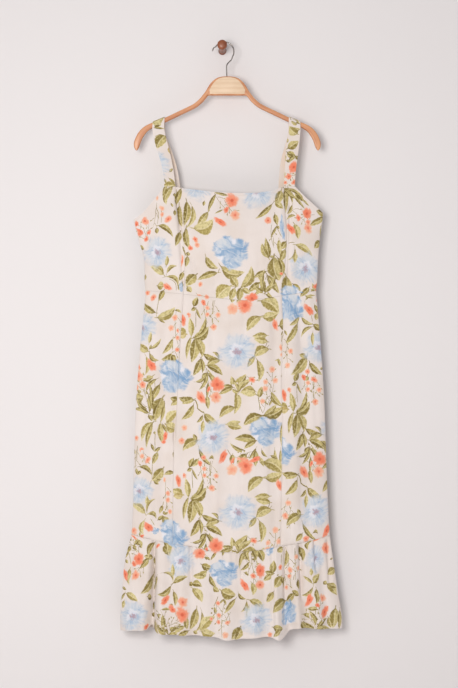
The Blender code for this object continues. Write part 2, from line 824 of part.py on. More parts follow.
def make_strap(name, front, back):
    """A flat band with its thickness on both sides of the surface between its two edges."""
    rows = strap_rows(front, back)
    grid = [[left.lerp(right, share) for share in even_shares(STRAP_COLUMNS)] for left, right in rows]
    outer = []
    inner = []
    for index, row in enumerate(grid):
        below = grid[max(0, index - 1)]
        above = grid[min(len(grid) - 1, index + 1)]
        outer_row = []
        inner_row = []
        for place, point in enumerate(row):
            along = above[place] - below[place]
            across = row[-1] - row[0]
            normal = across.cross(along).normalized()
            outer_row.append(point + normal * STRAP_WALL / 2)
            inner_row.append(point - normal * STRAP_WALL / 2)
        outer.append(outer_row)
        inner.append(inner_row)
    return closed_wall(name, outer, inner, CHIFFON)


def make_straps():
    make_strap("strap_left", LEFT_STRAP_FRONT, LEFT_STRAP_BACK)
    make_strap("strap_right", RIGHT_STRAP_FRONT, RIGHT_STRAP_BACK)


def rounded_power(value, power):
    return math.copysign(abs(value) ** power, value)


def make_hanger():
    """The hanger, from tip to tip, as a chain of rounded rectangles."""
    stations = []
    last = len(ARM_ROWS) - 1
    for side, rows in ((-1, range(last, 0, -1)), (1, range(0, last + 1))):
        for index in rows:
            row = ARM_ROWS[index]
            top = Vector((HANGER_MIDDLE + side * row.top_out, 0.0, row.top_height))
            bottom = Vector((HANGER_MIDDLE + side * row.bottom_out, 0.0, row.bottom_height))
            taper = smooth_share((last - index) / TIP_ROWS)
            thickness = between(HANGER_TIP_THICKNESS, HANGER_THICKNESS, taper)
            stations.append((top, bottom, thickness))
    builder = bmesh.new()
    rings = []
    power = 2 / HANGER_ROUNDNESS
    for top, bottom, thickness in stations:
        middle = (top + bottom) / 2
        up = (top - bottom) / 2
        ring = []
        for index in range(HANGER_SIDES):
            turn = 2 * math.pi * (index + 0.5) / HANGER_SIDES
            y = HANGING_PLANE + thickness / 2 * rounded_power(math.cos(turn), power)
            point = middle + up * rounded_power(math.sin(turn), power)
            ring.append(builder.verts.new((point.x, y, point.z)))
        rings.append(ring)
    for ring, following in zip(rings, rings[1:]):
        for index in range(HANGER_SIDES):
            other = (index + 1) % HANGER_SIDES
            builder.faces.new((ring[index], ring[other], following[other], following[index]))
    builder.faces.new(rings[0])
    builder.faces.new(reversed(rings[-1]))
    return new_object("hanger", builder, HANGER_WOOD)


def make_inlay():
    """A thin half-round plate on the front of the hanger's middle."""
    rows = ARM_ROWS[:MIDDLE_ROWS]
    outs = [row.top_out for row in rows]
    tops = [row.top_height for row in rows]
    bottom = ARM_ROWS[0].bottom_height + INLAY_MARGIN
    upper = []
    for index in range(-INLAY_STEPS, INLAY_STEPS + 1):
        turn = math.radians(90 * index / INLAY_STEPS)
        out = INLAY_REACH * math.sin(turn)
        full = smooth_value(outs, tops, abs(out) * (outs[-1] - INLAY_MARGIN) / INLAY_REACH)
        height = max(full - INLAY_MARGIN, bottom + INLAY_CORNER)
        upper.append((HANGER_MIDDLE + out, height))
    corners = [(upper[-1][0] - INLAY_CORNER, bottom), (upper[0][0] + INLAY_CORNER, bottom)]
    outline = upper + corners
    back = HANGING_PLANE - HANGER_THICKNESS / 2 - SEAM_GAP
    builder = bmesh.new()
    front_ring = [builder.verts.new((x, back - INLAY_THICKNESS, z)) for x, z in outline]
    back_ring = [builder.verts.new((x, back, z)) for x, z in outline]
    builder.faces.new(front_ring)
    builder.faces.new(reversed(back_ring))
    for index in range(len(outline)):
        other = (index + 1) % len(outline)
        builder.faces.new(
            (back_ring[index], back_ring[other], front_ring[other], front_ring[index])
        )
    return new_object("hanger_inlay", builder, INLAY_WOOD)


def hook_route():
    """The middle line of the wire, from its free end over the peg to the hanger's top."""
    middle = Vector((HOOK_MIDDLE[0], HOOK_MIDDLE[1]))
    inner = PEG_SHAFT_RADIUS + middle.length + SEAM_GAP
    radius = inner + WIRE_RADIUS
    route = [Vector((point.across, point.height)) for point in HOOK_END]
    for degrees in range(HOOK_ROUND_FROM, HOOK_ROUND_TO - 1, -HOOK_STEP):
        turn = math.radians(degrees)
        route.append(middle + radius * Vector((math.cos(turn), math.sin(turn))))
    route += [Vector((point.across, point.height)) for point in HOOK_NECK]
    lengths = [0.0]
    for start, end in zip(route, route[1:]):
        lengths.append(lengths[-1] + (end - start).length)
    count = round(lengths[-1] / WIRE_POINT_SPACING)
    line = []
    for index in range(count + 1):
        place = lengths[-1] * index / count
        x = smooth_value(lengths, [point.x for point in route], place)
        z = smooth_value(lengths, [point.y for point in route], place)
        line.append(Vector((x, HANGING_PLANE, z)))
    return line


def make_hook():
    curve = bpy.data.curves.new("hook", "CURVE")
    curve.dimensions = "3D"
    curve.bevel_depth = WIRE_RADIUS
    curve.bevel_resolution = 2
    curve.use_fill_caps = True
    spline = curve.splines.new("POLY")
    line = hook_route()
    spline.points.add(len(line) - 1)
    for point, place in zip(spline.points, line):
        point.co = (place.x, place.y, place.z, 1.0)
    curve.materials.append(material("hook", STEEL))
    made = bpy.data.objects.new("hook", curve)
    bpy.context.collection.objects.link(made)
    return made


PegRow = namedtuple("PegRow", "forward radius")
PEG_ROWS = (
    PegRow(0.0000, PEG_BASE_RADIUS - 0.0004),
    PegRow(0.0010, PEG_BASE_RADIUS),
    PegRow(0.0050, PEG_BASE_RADIUS - 0.0008),
    PegRow(0.0090, PEG_SHAFT_RADIUS),
    PegRow(0.0570, PEG_SHAFT_RADIUS),
    PegRow(0.0590, PEG_KNOB_RADIUS - 0.0018),
    PegRow(0.0612, PEG_KNOB_RADIUS),
    PegRow(0.0680, PEG_KNOB_RADIUS),
    PegRow(0.0705, PEG_KNOB_RADIUS - 0.0010),
    PegRow(0.0722, PEG_KNOB_RADIUS - 0.0036),
    PegRow(0.0730, PEG_KNOB_RADIUS - 0.0075),
)


def make_peg():
    """The round peg, turned about the Y axis, with its flat back on the wall."""
    builder = bmesh.new()
    rings = []
    for row in PEG_ROWS:
        ring = []
        for index in range(PEG_SEGMENTS):
            turn = 2 * math.pi * index / PEG_SEGMENTS
            place = (row.radius * math.cos(turn), -row.forward, row.radius * math.sin(turn))
            ring.append(builder.verts.new(place))
        rings.append(ring)
    for ring, following in zip(rings, rings[1:]):
        for index in range(PEG_SEGMENTS):
            other = (index + 1) % PEG_SEGMENTS
            builder.faces.new((ring[index], ring[other], following[other], following[index]))
    builder.faces.new(rings[0])
    builder.faces.new(reversed(rings[-1]))
    return new_object("wall_peg", builder, PEG_WOOD)


def main():
    for existing in list(bpy.data.objects):
        bpy.data.objects.remove(existing)
    make_bodice()
    make_skirt()
    make_ruffle()
    make_straps()
    make_hanger()
    make_inlay()
    make_hook()
    make_peg()


main()
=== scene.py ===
"""The looks of a midi sundress that hangs from a wooden hanger on a round wall peg.

Lengths are in metres. The origin is the centre of the peg's back face, on the wall, +Z is up and
-Y is the front. The cloth of each piece is a thin shell on a flattened ring: a place on the ring
is an angle and a height, and the angle is 180 degrees at the left side seam, 90 at the middle of
the front, 0 at the right side seam and -90 at the middle of the back.

The printed motifs are listed, a row for each, and drawn by the cloth's material. Each
face carries its place in the few flowers and leaves that lie on it, so one small group of nodes
draws every leaf, and one each the blossoms and the peonies.
"""

import math
from collections import namedtuple

import bmesh
import bpy
import numpy as np
from bpy.props import FloatProperty, FloatVectorProperty, PointerProperty
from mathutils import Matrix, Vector


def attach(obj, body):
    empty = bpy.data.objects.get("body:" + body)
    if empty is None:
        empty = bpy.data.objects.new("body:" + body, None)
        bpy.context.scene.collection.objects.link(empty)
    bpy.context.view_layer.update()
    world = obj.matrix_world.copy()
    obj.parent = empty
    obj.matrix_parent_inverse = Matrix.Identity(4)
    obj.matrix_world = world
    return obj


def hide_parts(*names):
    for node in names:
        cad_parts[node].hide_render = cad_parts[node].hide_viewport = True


bl_info = {
    "name": "Sundress on a hanger",
    "version": (1, 0, 0),
    "blender": (4, 5, 0),
    "location": "3D View > Sidebar > Sundress",
    "description": "Dresses the frame of a ruffled sundress on its hanger and wall peg",
    "category": "Object",
}

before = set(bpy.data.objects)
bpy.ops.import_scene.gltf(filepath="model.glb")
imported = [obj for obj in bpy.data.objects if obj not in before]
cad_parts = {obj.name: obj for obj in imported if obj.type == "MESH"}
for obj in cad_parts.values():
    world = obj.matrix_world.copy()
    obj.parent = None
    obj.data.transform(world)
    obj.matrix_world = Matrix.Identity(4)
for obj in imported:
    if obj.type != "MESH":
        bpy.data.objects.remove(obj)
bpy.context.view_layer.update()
BODY = "root"

# How the printed motifs are held on the faces: how many of each kind a face has room for, how
# far past its edge a motif is noted, and the place that means no motif
LEAF_SLOTS = 4
PEONY_SLOTS = 2
BLOSSOM_SLOTS = 2
PRINT_MARGIN = 0.0034
FAR = (9.0, 9.0, 0.0)
SHORTEST_LEAF = 0.0001

# A printed leaf's form: how round its ends are, how much wider it is near its stalk than near its
# tip, and how far its stalk reaches, as a share of its length. A tone above the last is a stem's
LEAF_POWER = 0.9
STEM_POWER = 0.15
LEAF_BASE = 1.26
LEAF_TAPER = 0.56
STALK_REACH = 0.14
STEM_ABOVE = 1.5

# The cloth's small forms
CREASE_END = 0.018
SEAM_REACH = 0.0025
SEAM_STEPS = (0.0, 0.0009, 0.0018, 0.0030, 0.0048)
GATHER_RISE = 0.0009
GATHER_LENGTH = 0.16
GATHER_START = 0.02
GATHER_LEAST = 0.35
GATHER_DEPTH_TURN = (47.0, 0.4)
# Each of the gathers' small waves, as its size, spacing and start, and the sways that make them
# uneven, as a reach, a rate and a start
GATHER_WAVES = ((1.0, 0.0088, 0.0), (0.5, 0.0143, 0.8))
GATHER_SWAYS = ((0.0035, 61.0, 1.3), (0.0016, 173.0, 0.0))
# Places along a row on which a panel's columns are measured, and how much of the cloth's thickness
# is lost in a seam
FINE_COLUMNS = 401
SEAM_THINNING = 0.35
SHARP_EDGE = 50
WEAVE_PITCH = 0.0007
LINING_PITCH = 0.0005
FLAT_COLUMNS = 321
FLAT_ROWS = 41
STITCH_LIFT = 0.00025
STRAP_THICKNESS = 0.0016
STRAP_INSET = 0.0006
STRAP_TURN_POWER = 0.4
STRAP_TURN_STEP = 15
STRAP_ROW_SPACING = 0.003
STRAP_SHARES = (0.0, 0.02, 0.05, 0.09, 0.13, 0.2, 0.35, 0.5, 0.65, 0.8, 0.87, 0.91, 0.95, 0.98, 1.0)
STRAP_EDGE_POWER = 14
STRAP_EDGE_THICKNESS = 0.25
# The dip of the stitches beside a strap's edge, and its place and width as shares of the strap's
STRAP_DIP = 0.00022
STRAP_DIP_PLACE = 0.075
STRAP_DIP_WIDTH = 0.02
# A strap's soft ripple, how quickly it turns along and across, and how much of the strap is front
RIPPLE = 0.00024
RIPPLE_ALONG = 95.0
RIPPLE_ACROSS = 4.0
STRAP_FRONT = 0.46
# No motif reaches further than this from its own place
MOTIF_REACH = 0.055

# Driving dimensions of the dress, the same as the solids have
SEAM_GAP = 0.0003
HANGING_PLANE = -0.050
SIDE_FADE = 0.30
FOLD_END = 0.045
GATHER_AT_SEAM = 0.16
WAVE_GROWTH = 0.8
WAVE_WIDTH_AT_SEAM = 0.75
STRAP_DRAW_IN = 1.4
PLACE_ROUNDS = 6

# Small steps of height and angle, over which the cloth's slope is measured
HEIGHT_STEP = 0.0004
ANGLE_STEP = 0.0020

# Driving dimensions of the hanger, the hook and the peg
HANGER_MIDDLE = 0.0115
HANGER_THICKNESS = 0.012
HANGER_TIP_THICKNESS = 0.007
# The hanger's rounded corners, and their most as shares of its depth and half its height, and how
# far the grain moves across as it goes in
HANGER_CORNER = 0.0030
CORNER_OF_DEPTH = 0.32
CORNER_OF_HEIGHT = 0.9
GRAIN_LEAN = 0.6
INLAY_THICKNESS = 0.0011
INLAY_MARGIN = 0.0026
INLAY_REACH = 0.0405
INLAY_CORNER = 0.0015
INLAY_ROUND_STEPS = 49
INLAY_FLAT_STEPS = 15
# The plate's soft edge, as how far forward and how far in it is
INLAY_EDGE = ((0.0, 0.0), (0.0007, 0.0), (0.0010, 0.00015), (INLAY_THICKNESS, 0.0006))
STRAP_CLEARANCE = 0.0010
ARM_HALF_HEIGHT = 0.0053
WIRE_RADIUS = 0.0014
WIRE_RINGS = 120
WIRE_SIDES = 16
# The wire's rounded end: how far back each ring is and its size, as shares of the wire's radius
WIRE_END = ((-1.0, 0.30), (-0.85, 0.62), (-0.5, 0.88))
PEG_SIDES = 56
HOOK_MIDDLE = (0.0043, -0.0122)
PEG_SHAFT_RADIUS = 0.0075
PEG_BASE_RADIUS = 0.0092
PEG_KNOB_RADIUS = 0.0110


def in_tenths(kind, *rows):
    """A table's rows, which are given in tenths of a millimetre."""
    return tuple(kind(*(value / 10000 for value in row)) for row in rows)


# The garment's silhouette, seen from the front, and how far its front and back stand from the
# hanging plane
Outline = namedtuple("Outline", "height left right front back")
OUTLINE = in_tenths(
    Outline,
    (-3050, -2010, 2295, 125, 110), (-3500, -2010, 2294, 185, 140), (-3920, -2005, 2278, 245, 175),
    (-4330, -1913, 2221, 270, 190), (-4820, -1775, 2178, 245, 180), (-5280, -1768, 2160, 220, 170),
    (-5520, -1755, 2135, 210, 165), (-5820, -1766, 2160, 220, 170), (-6790, -1865, 2241, 245, 190),
    (-7980, -1956, 2318, 260, 205), (-9660, -2010, 2375, 270, 220), (-10940, -2059, 2438, 275, 230),
    (-11620, -2210, 2524, 300, 250), (-12300, -2274, 2623, 320, 265), (-12860, -2308, 2712, 330, 275),
    (-13400, -2305, 2725, 335, 280),
)

# Where the two long front seams run
FrontSeams = namedtuple("FrontSeams", "height left right")
FRONT_SEAMS = in_tenths(
    FrontSeams,
    (-3100, -1048, 1381), (-3700, -1003, 1428), (-4080, -947, 1455), (-4660, -868, 1446),
    (-5600, -872, 1350), (-6180, -910, 1361), (-7530, -988, 1339), (-8870, -1085, 1339),
    (-11220, -1111, 1307),
)

# Edges that run across, as heights at places across the front or the back
Edge = namedtuple("Edge", "across height")
FRONT_TOP = in_tenths(
    Edge,
    (-2010, -3925), (-1780, -3760), (-1520, -3460), (-1300, -3180), (-1048, -3180), (-890, -3219),
    (-188, -3304), (384, -3333), (781, -3327), (1198, -3262), (1381, -3170), (1633, -3170), (1900, -3440),
    (2150, -3660), (2292, -3780),
)
BACK_TOP = in_tenths(
    Edge,
    (-2010, -3925), (-1780, -3880), (-1480, -3640), (-1193, -3260), (-938, -3260), (-750, -3400),
    (150, -3480), (1080, -3400), (1270, -3260), (1525, -3260), (1800, -3580), (2080, -3770),
    (2292, -3780),
)
FRONT_WAIST = in_tenths(
    Edge,
    (-1755, -5510), (-870, -5600), (400, -5735), (780, -5715), (1380, -5630), (2135, -5520),
)
BACK_WAIST = in_tenths(
    Edge,
    (-1755, -5510), (-870, -5580), (200, -5620), (1300, -5585), (2135, -5520),
)
FRONT_RUFFLE_SEAM = in_tenths(
    Edge,
    (-2059, -11009), (-1055, -11216), (-719, -11245), (-183, -11365), (332, -11373), (869, -11328),
    (1294, -11252), (1685, -11195), (2433, -11045),
)
BACK_RUFFLE_SEAM = in_tenths(
    Edge,
    (-2059, -11009), (-1000, -11150), (200, -11200), (1500, -11160), (2433, -11045),
)
FRONT_HEM = in_tenths(
    Edge,
    (-2308, -13170), (-1950, -13150), (-1700, -13120), (-1595, -13030), (-1490, -13170), (-1220, -13225),
    (-450, -13240), (-150, -13270), (90, -13330), (500, -13305), (1050, -13270), (1290, -13330),
    (1430, -13240), (1530, -13140), (1740, -13080), (2050, -13100), (2720, -13130),
)
BACK_HEM = in_tenths(
    Edge,
    (-2308, -13170), (-1500, -13150), (-600, -13210), (300, -13160), (1200, -13200), (2000, -13140),
    (2720, -13130),
)

# The largest soft folds. A fold runs from a high place to a low one, and its rise is how far
# its middle stands out of the cloth, or in where it is below zero
Fold = namedtuple("Fold", "high_across high_height low_across low_height width rise")
FRONT_FOLDS = in_tenths(
    Fold,
    (-1100, -3180, -1090, -4200, 80, 30), (-950, -3300, -860, -5000, 80, -45),
    (-740, -4400, -600, -5200, 90, -30), (-1260, -3300, -1500, -4200, 90, -25),
    (-1500, -4400, -1300, -5400, 140, -30), (150, -3450, 200, -5450, 600, 30),
    (1300, -3250, 1340, -4600, 80, 25), (1520, -3220, 1520, -4200, 80, -40),
    (1640, -3300, 1850, -4000, 100, 30), (1900, -4400, 1780, -5450, 140, -30),
    (-1500, -5750, -1650, -11100, 150, 40), (-1220, -6000, -1350, -11200, 140, -50),
    (-800, -5900, -850, -10500, 140, -35), (-300, -6400, -450, -11300, 240, 35),
    (250, -7600, 150, -11300, 220, -30), (850, -6000, 900, -10000, 240, 30),
    (1200, -5900, 1200, -11200, 120, -40), (1550, -5800, 1600, -11200, 150, 40),
    (1800, -6200, 1950, -11100, 130, -45),
)
BACK_FOLDS = in_tenths(
    Fold,
    (-1050, -3300, -1000, -4400, 120, 25), (1400, -3300, 1350, -4400, 120, 25),
    (-1300, -4400, -1200, -5450, 160, -25), (300, -3800, 250, -5500, 300, -20),
    (1650, -4400, 1600, -5450, 160, -25), (-1450, -5800, -1600, -11100, 160, 35),
    (-900, -6200, -1000, -11100, 170, -40), (-300, -5800, -350, -10600, 220, 35),
    (300, -7000, 350, -11100, 180, -35), (900, -5900, 1000, -10800, 200, 35),
    (1500, -6100, 1650, -11100, 170, -40),
)

# The ruffle's gathers and waves. Each one opens from its place at the seam to its place at the
# hem, and its rise is reached at the hem
Wave = namedtuple("Wave", "seam_across hem_across width rise")
FRONT_WAVES = in_tenths(
    Wave,
    (-1880, -2080, 140, 60), (-1680, -1800, 110, 70), (-1510, -1590, 100, -150), (-1330, -1380, 110, 80),
    (-1120, -1080, 100, -45), (-960, -880, 110, 40), (-760, -620, 130, -65), (-420, -330, 140, 35),
    (-200, -120, 100, -35), (60, 80, 150, 70), (380, 430, 130, -45), (640, 720, 140, 50),
    (900, 1010, 110, -45), (1150, 1240, 100, 100), (1390, 1520, 105, -120), (1560, 1720, 90, 60),
    (1740, 1930, 100, -60), (1960, 2180, 120, 65), (2150, 2400, 100, -45),
)
BACK_WAVES = in_tenths(
    Wave,
    (-1850, -2050, 120, -60), (-1620, -1790, 120, 85), (-1350, -1480, 110, -90), (-1080, -1170, 130, 80),
    (-820, -880, 110, -70), (-530, -570, 140, 85), (-230, -230, 120, -85), (60, 100, 130, 75),
    (350, 420, 120, -90), (660, 750, 130, 85), (950, 1070, 110, -75), (1230, 1370, 130, 90),
    (1520, 1690, 120, -85), (1790, 2000, 130, 80), (2080, 2320, 110, -60),
)

# The straps, as the places of their two edges: down the front of the hanger and down its back
StrapRow = namedtuple("StrapRow", "height left right")
LEFT_STRAP_FRONT = in_tenths(
    StrapRow,
    (-1900, -1572, -1300), (-2268, -1500, -1210), (-2537, -1405, -1145), (-2807, -1342, -1095),
    (-3177, -1300, -1048),
)
LEFT_STRAP_BACK = in_tenths(
    StrapRow,
    (-1950, -1545, -1288), (-2350, -1400, -1142), (-2800, -1265, -1008), (-3257, -1193, -938),
)
RIGHT_STRAP_FRONT = in_tenths(
    StrapRow,
    (-1900, 1500, 1762), (-2155, 1457, 1743), (-2492, 1424, 1702), (-2852, 1408, 1655),
    (-3167, 1381, 1633),
)
RIGHT_STRAP_BACK = in_tenths(
    StrapRow,
    (-1900, 1500, 1758), (-2160, 1439, 1696), (-2500, 1344, 1600), (-2860, 1290, 1545),
    (-3257, 1270, 1525),
)

# The hanger's outline on one side of its middle, as pairs of places on its top and bottom edges
ArmRow = namedtuple("ArmRow", "top_out top_height bottom_out bottom_height")
ARM_ROWS = in_tenths(
    ArmRow,
    (0, -683, 0, -1112), (120, -690, 115, -1112), (239, -724, 225, -1112), (335, -795, 315, -1112),
    (397, -866, 375, -1112), (450, -952, 415, -1114), (492, -1024, 435, -1118), (555, -1106, 480, -1172),
    (619, -1184, 548, -1256), (745, -1295, 692, -1376), (900, -1378, 860, -1464),
    (1061, -1453, 1022, -1540), (1244, -1541, 1205, -1628), (1427, -1627, 1390, -1714),
    (1648, -1712, 1603, -1804), (1800, -1775, 1735, -1872), (1917, -1852, 1820, -1938),
    (2005, -1950, 1880, -2020), (2066, -2060, 1925, -2100), (2105, -2170, 1960, -2190),
    (2105, -2270, 1990, -2278), (2078, -2332, 2018, -2330), (2054, -2350, 2042, -2348),
)
MIDDLE_ROWS = 7
TIP_ROWS = 5

# The hook's end and neck, beside its round part, across and up in the hanging plane
HookPoint = namedtuple("HookPoint", "across height")
HOOK_END = in_tenths(
    HookPoint,
    (-218, -98), (-196, -40),
)
HOOK_NECK = in_tenths(
    HookPoint,
    (207, -304), (140, -370), (104, -425), (98, -500), (102, -600), (104, -680),
)
HOOK_ROUND_FROM = 150
HOOK_ROUND_TO = -30
HOOK_STEP = 12

# Small creases, placed on the cloth between the large folds, and like ones on the back
FRONT_CREASES = in_tenths(
    Fold,
    (-1070, -3380, -756, -4600, 36, -34), (-756, -4600, -588, -5190, 32, -30),
    (1340, -4200, 1250, -5400, 40, -18), (-1000, -3450, -865, -5520, 36, -42),
    (-925, -4000, -800, -5000, 36, 13), (1545, -3450, 1470, -5550, 36, -36),
    (-1075, -6900, -1068, -9000, 40, -46), (1400, -6400, 1420, -8200, 40, -34),
    (-890, -4800, -560, -5200, 40, -11), (-700, -5750, -620, -6240, 36, -12),
    (-1080, -4300, -1280, -4780, 42, -9), (-1640, -4700, -1480, -5400, 44, -12),
    (-180, -5100, -120, -5680, 42, -10), (420, -5000, 460, -5700, 46, -12),
    (850, -4700, 760, -5600, 44, -9), (1240, -5000, 1160, -5560, 36, -12),
    (1620, -4500, 1720, -5200, 46, -10), (1960, -4900, 1840, -5480, 40, -13),
    (-1520, -3500, -1420, -3860, 42, -10), (1780, -3560, 1720, -4000, 42, 10),
    (-450, -3450, -420, -3950, 52, -7), (620, -3450, 650, -4020, 52, -7),
    (-1610, -5560, -1640, -6400, 50, -16), (-1350, -5600, -1400, -6120, 44, 12),
    (-1080, -5660, -1110, -6600, 44, -12), (-470, -5720, -500, -6320, 48, 10),
    (-210, -5780, -230, -6900, 52, -13), (140, -5840, 130, -6300, 44, 10),
    (480, -5800, 500, -7000, 52, -12), (720, -5780, 740, -6220, 44, -9),
    (1040, -5740, 1060, -6600, 48, 12), (1420, -5680, 1460, -6400, 44, -13),
    (1700, -5620, 1760, -6800, 50, -14), (1960, -5580, 2020, -6200, 44, 10),
    (-1740, -7600, -1800, -9800, 60, -15), (-1060, -7800, -1120, -10800, 56, 13),
    (-640, -8200, -620, -10000, 60, -12), (-100, -8600, -160, -11200, 58, 12),
    (440, -8000, 420, -10600, 62, -14), (720, -9000, 700, -11200, 56, 12),
    (1080, -8400, 1080, -10400, 52, -13), (1420, -7800, 1400, -10000, 56, 12),
    (1760, -8600, 1780, -10900, 60, -14), (2080, -7400, 2160, -9800, 60, -13),
    (-1500, -10000, -1540, -11100, 44, -12), (-900, -10400, -920, -11180, 44, -10),
    (240, -10600, 260, -11320, 44, 10), (1520, -10300, 1540, -11160, 44, -11),
)
RUFFLE_CREASES = in_tenths(
    Fold,
    (-1537, -11060, -1571, -12900, 40, -88), (-1450, -11120, -1480, -12700, 60, 24),
    (-1640, -11200, -1670, -12600, 60, 20), (-1146, -11120, -1190, -11960, 50, -22),
    (-909, -11120, -930, -11600, 40, -16), (-709, -11100, -700, -12220, 40, -54),
    (-429, -11160, -440, -11800, 44, -16), (63, -11180, 48, -12400, 46, -18),
    (422, -11180, 450, -12050, 40, -36), (760, -11160, 780, -11760, 46, -16),
    (1127, -11180, 1140, -13220, 42, -48), (1429, -11160, 1400, -13100, 44, -52),
    (1743, -11080, 1790, -12500, 40, -76), (1850, -11120, 1900, -12300, 60, 24),
    (2078, -11040, 2120, -11900, 36, -62), (2370, -11040, 2430, -12200, 40, -44),
    (-2000, -11120, -2040, -12000, 44, -24),
)
BACK_CREASES = in_tenths(
    Fold,
    (-1500, -4000, -1380, -4700, 44, -10), (-820, -3600, -760, -4300, 50, -9),
    (-300, -5000, -180, -5560, 42, -11), (200, -3650, 180, -4200, 52, -7),
    (620, -4900, 560, -5580, 44, -12), (1080, -4700, 1000, -5500, 44, -10),
    (1480, -4000, 1580, -4700, 44, -10), (1920, -4700, 1820, -5400, 42, -12),
    (-1500, -5600, -1560, -6500, 50, -14), (-1060, -5660, -1080, -6400, 46, 12),
    (-600, -5680, -640, -6900, 52, -13), (20, -5700, 0, -6300, 46, 11), (500, -5680, 540, -6800, 52, -13),
    (1120, -5640, 1180, -6400, 46, 12), (1780, -5600, 1860, -6700, 50, -14),
    (-1720, -7600, -1800, -10000, 60, -15), (-1220, -8200, -1280, -10900, 56, 13),
    (-560, -7900, -580, -10100, 60, -13), (60, -8700, 40, -11000, 58, 12),
    (660, -8000, 700, -10600, 60, -14), (1240, -8600, 1320, -10900, 56, 13),
    (1960, -7600, 2060, -9900, 60, -14),
)

# A printed leaf or stalk, from its base to its tip. Its bend is a share of its length. Its tone
# is 0 for a pale leaf, 1 for a dark one, below 0 for a warm brown one and 2 for a stalk
Leaf = namedtuple("Leaf", "base_across base_height tip_across tip_height half_width bend tone")

# A printed flower. It is turned in degrees, and narrow is its height as a share of its width,
# for one that is seen from its side. A blossom's tone is 0 where it is pale and 1 where it is
# strong; a peony's is 0 for an open one and 1 for a full one
Flower = namedtuple("Flower", "across height radius turn narrow tone")

# What marks a leaf's row as a stem, and the fine twigs: their half width and their bend, and the
# length, half width, bend and tone of the leaf at the end of each
STEM_TONE = 2.0
TWIG = 0.0005
TWIG_BEND = 0.10
STALK_BEND = 0.06
TIP_LEAF = (0.0060, 0.0013, 0.15, 0.9)
Chart = namedtuple("Chart", "leaves over peonies blossoms")


def twigs_of(rows):
    """Fine sprays: for each row a stem with twigs on both sides by turns, and a narrow leaf at the
    end of every twig."""
    length, half_width, bend, tone = TIP_LEAF
    made = []
    for x, z, tip_x, tip_z, count, reach in rows:
        base = Vector((x, z)) / 1000
        run = Vector((tip_x, tip_z)) / 1000 - base
        made.append(Leaf(*base, *(base + run), TWIG, STALK_BEND, STEM_TONE))
        for index in range(count):
            share = (index + 1) / (count + 1)
            side = 1 if index % 2 else -1
            lean = Vector((run.y, -run.x)) * side * (0.75 + 0.12 * (index % 3))
            way = (run + lean).normalized()
            start = base + run * share
            end = start + way * reach / 1000 * (1 - 0.4 * share)
            made.append(Leaf(*start, *end, TWIG, TWIG_BEND * side, STEM_TONE))
            made.append(Leaf(*end, *(end + way * length), half_width, bend * side, tone))
    return tuple(made)


def charted(stems, leaves, over, peonies, blossoms, sprays):
    """A chart's rows as leaves and flowers, in metres."""

    def as_leaves(rows, *stem_tone):
        made = []
        for row in rows:
            x, z, tip_x, tip_z, half_width, bend, tone = (*row, *stem_tone)
            places = (x / 1000, z / 1000, tip_x / 1000, tip_z / 1000)
            made.append(Leaf(*places, half_width / 10000, bend / 100, tone / 10))
        return tuple(made)

    def as_flowers(rows):
        made = []
        for x, z, radius, turn, narrow, tone in rows:
            made.append(Flower(x / 1000, z / 1000, radius / 1000, turn, narrow / 100, tone / 10))
        return tuple(made)

    all_leaves = as_leaves(stems, STEM_TONE * 10) + as_leaves(leaves) + twigs_of(sprays)
    return Chart(all_leaves, as_leaves(over), as_flowers(peonies), as_flowers(blossoms))


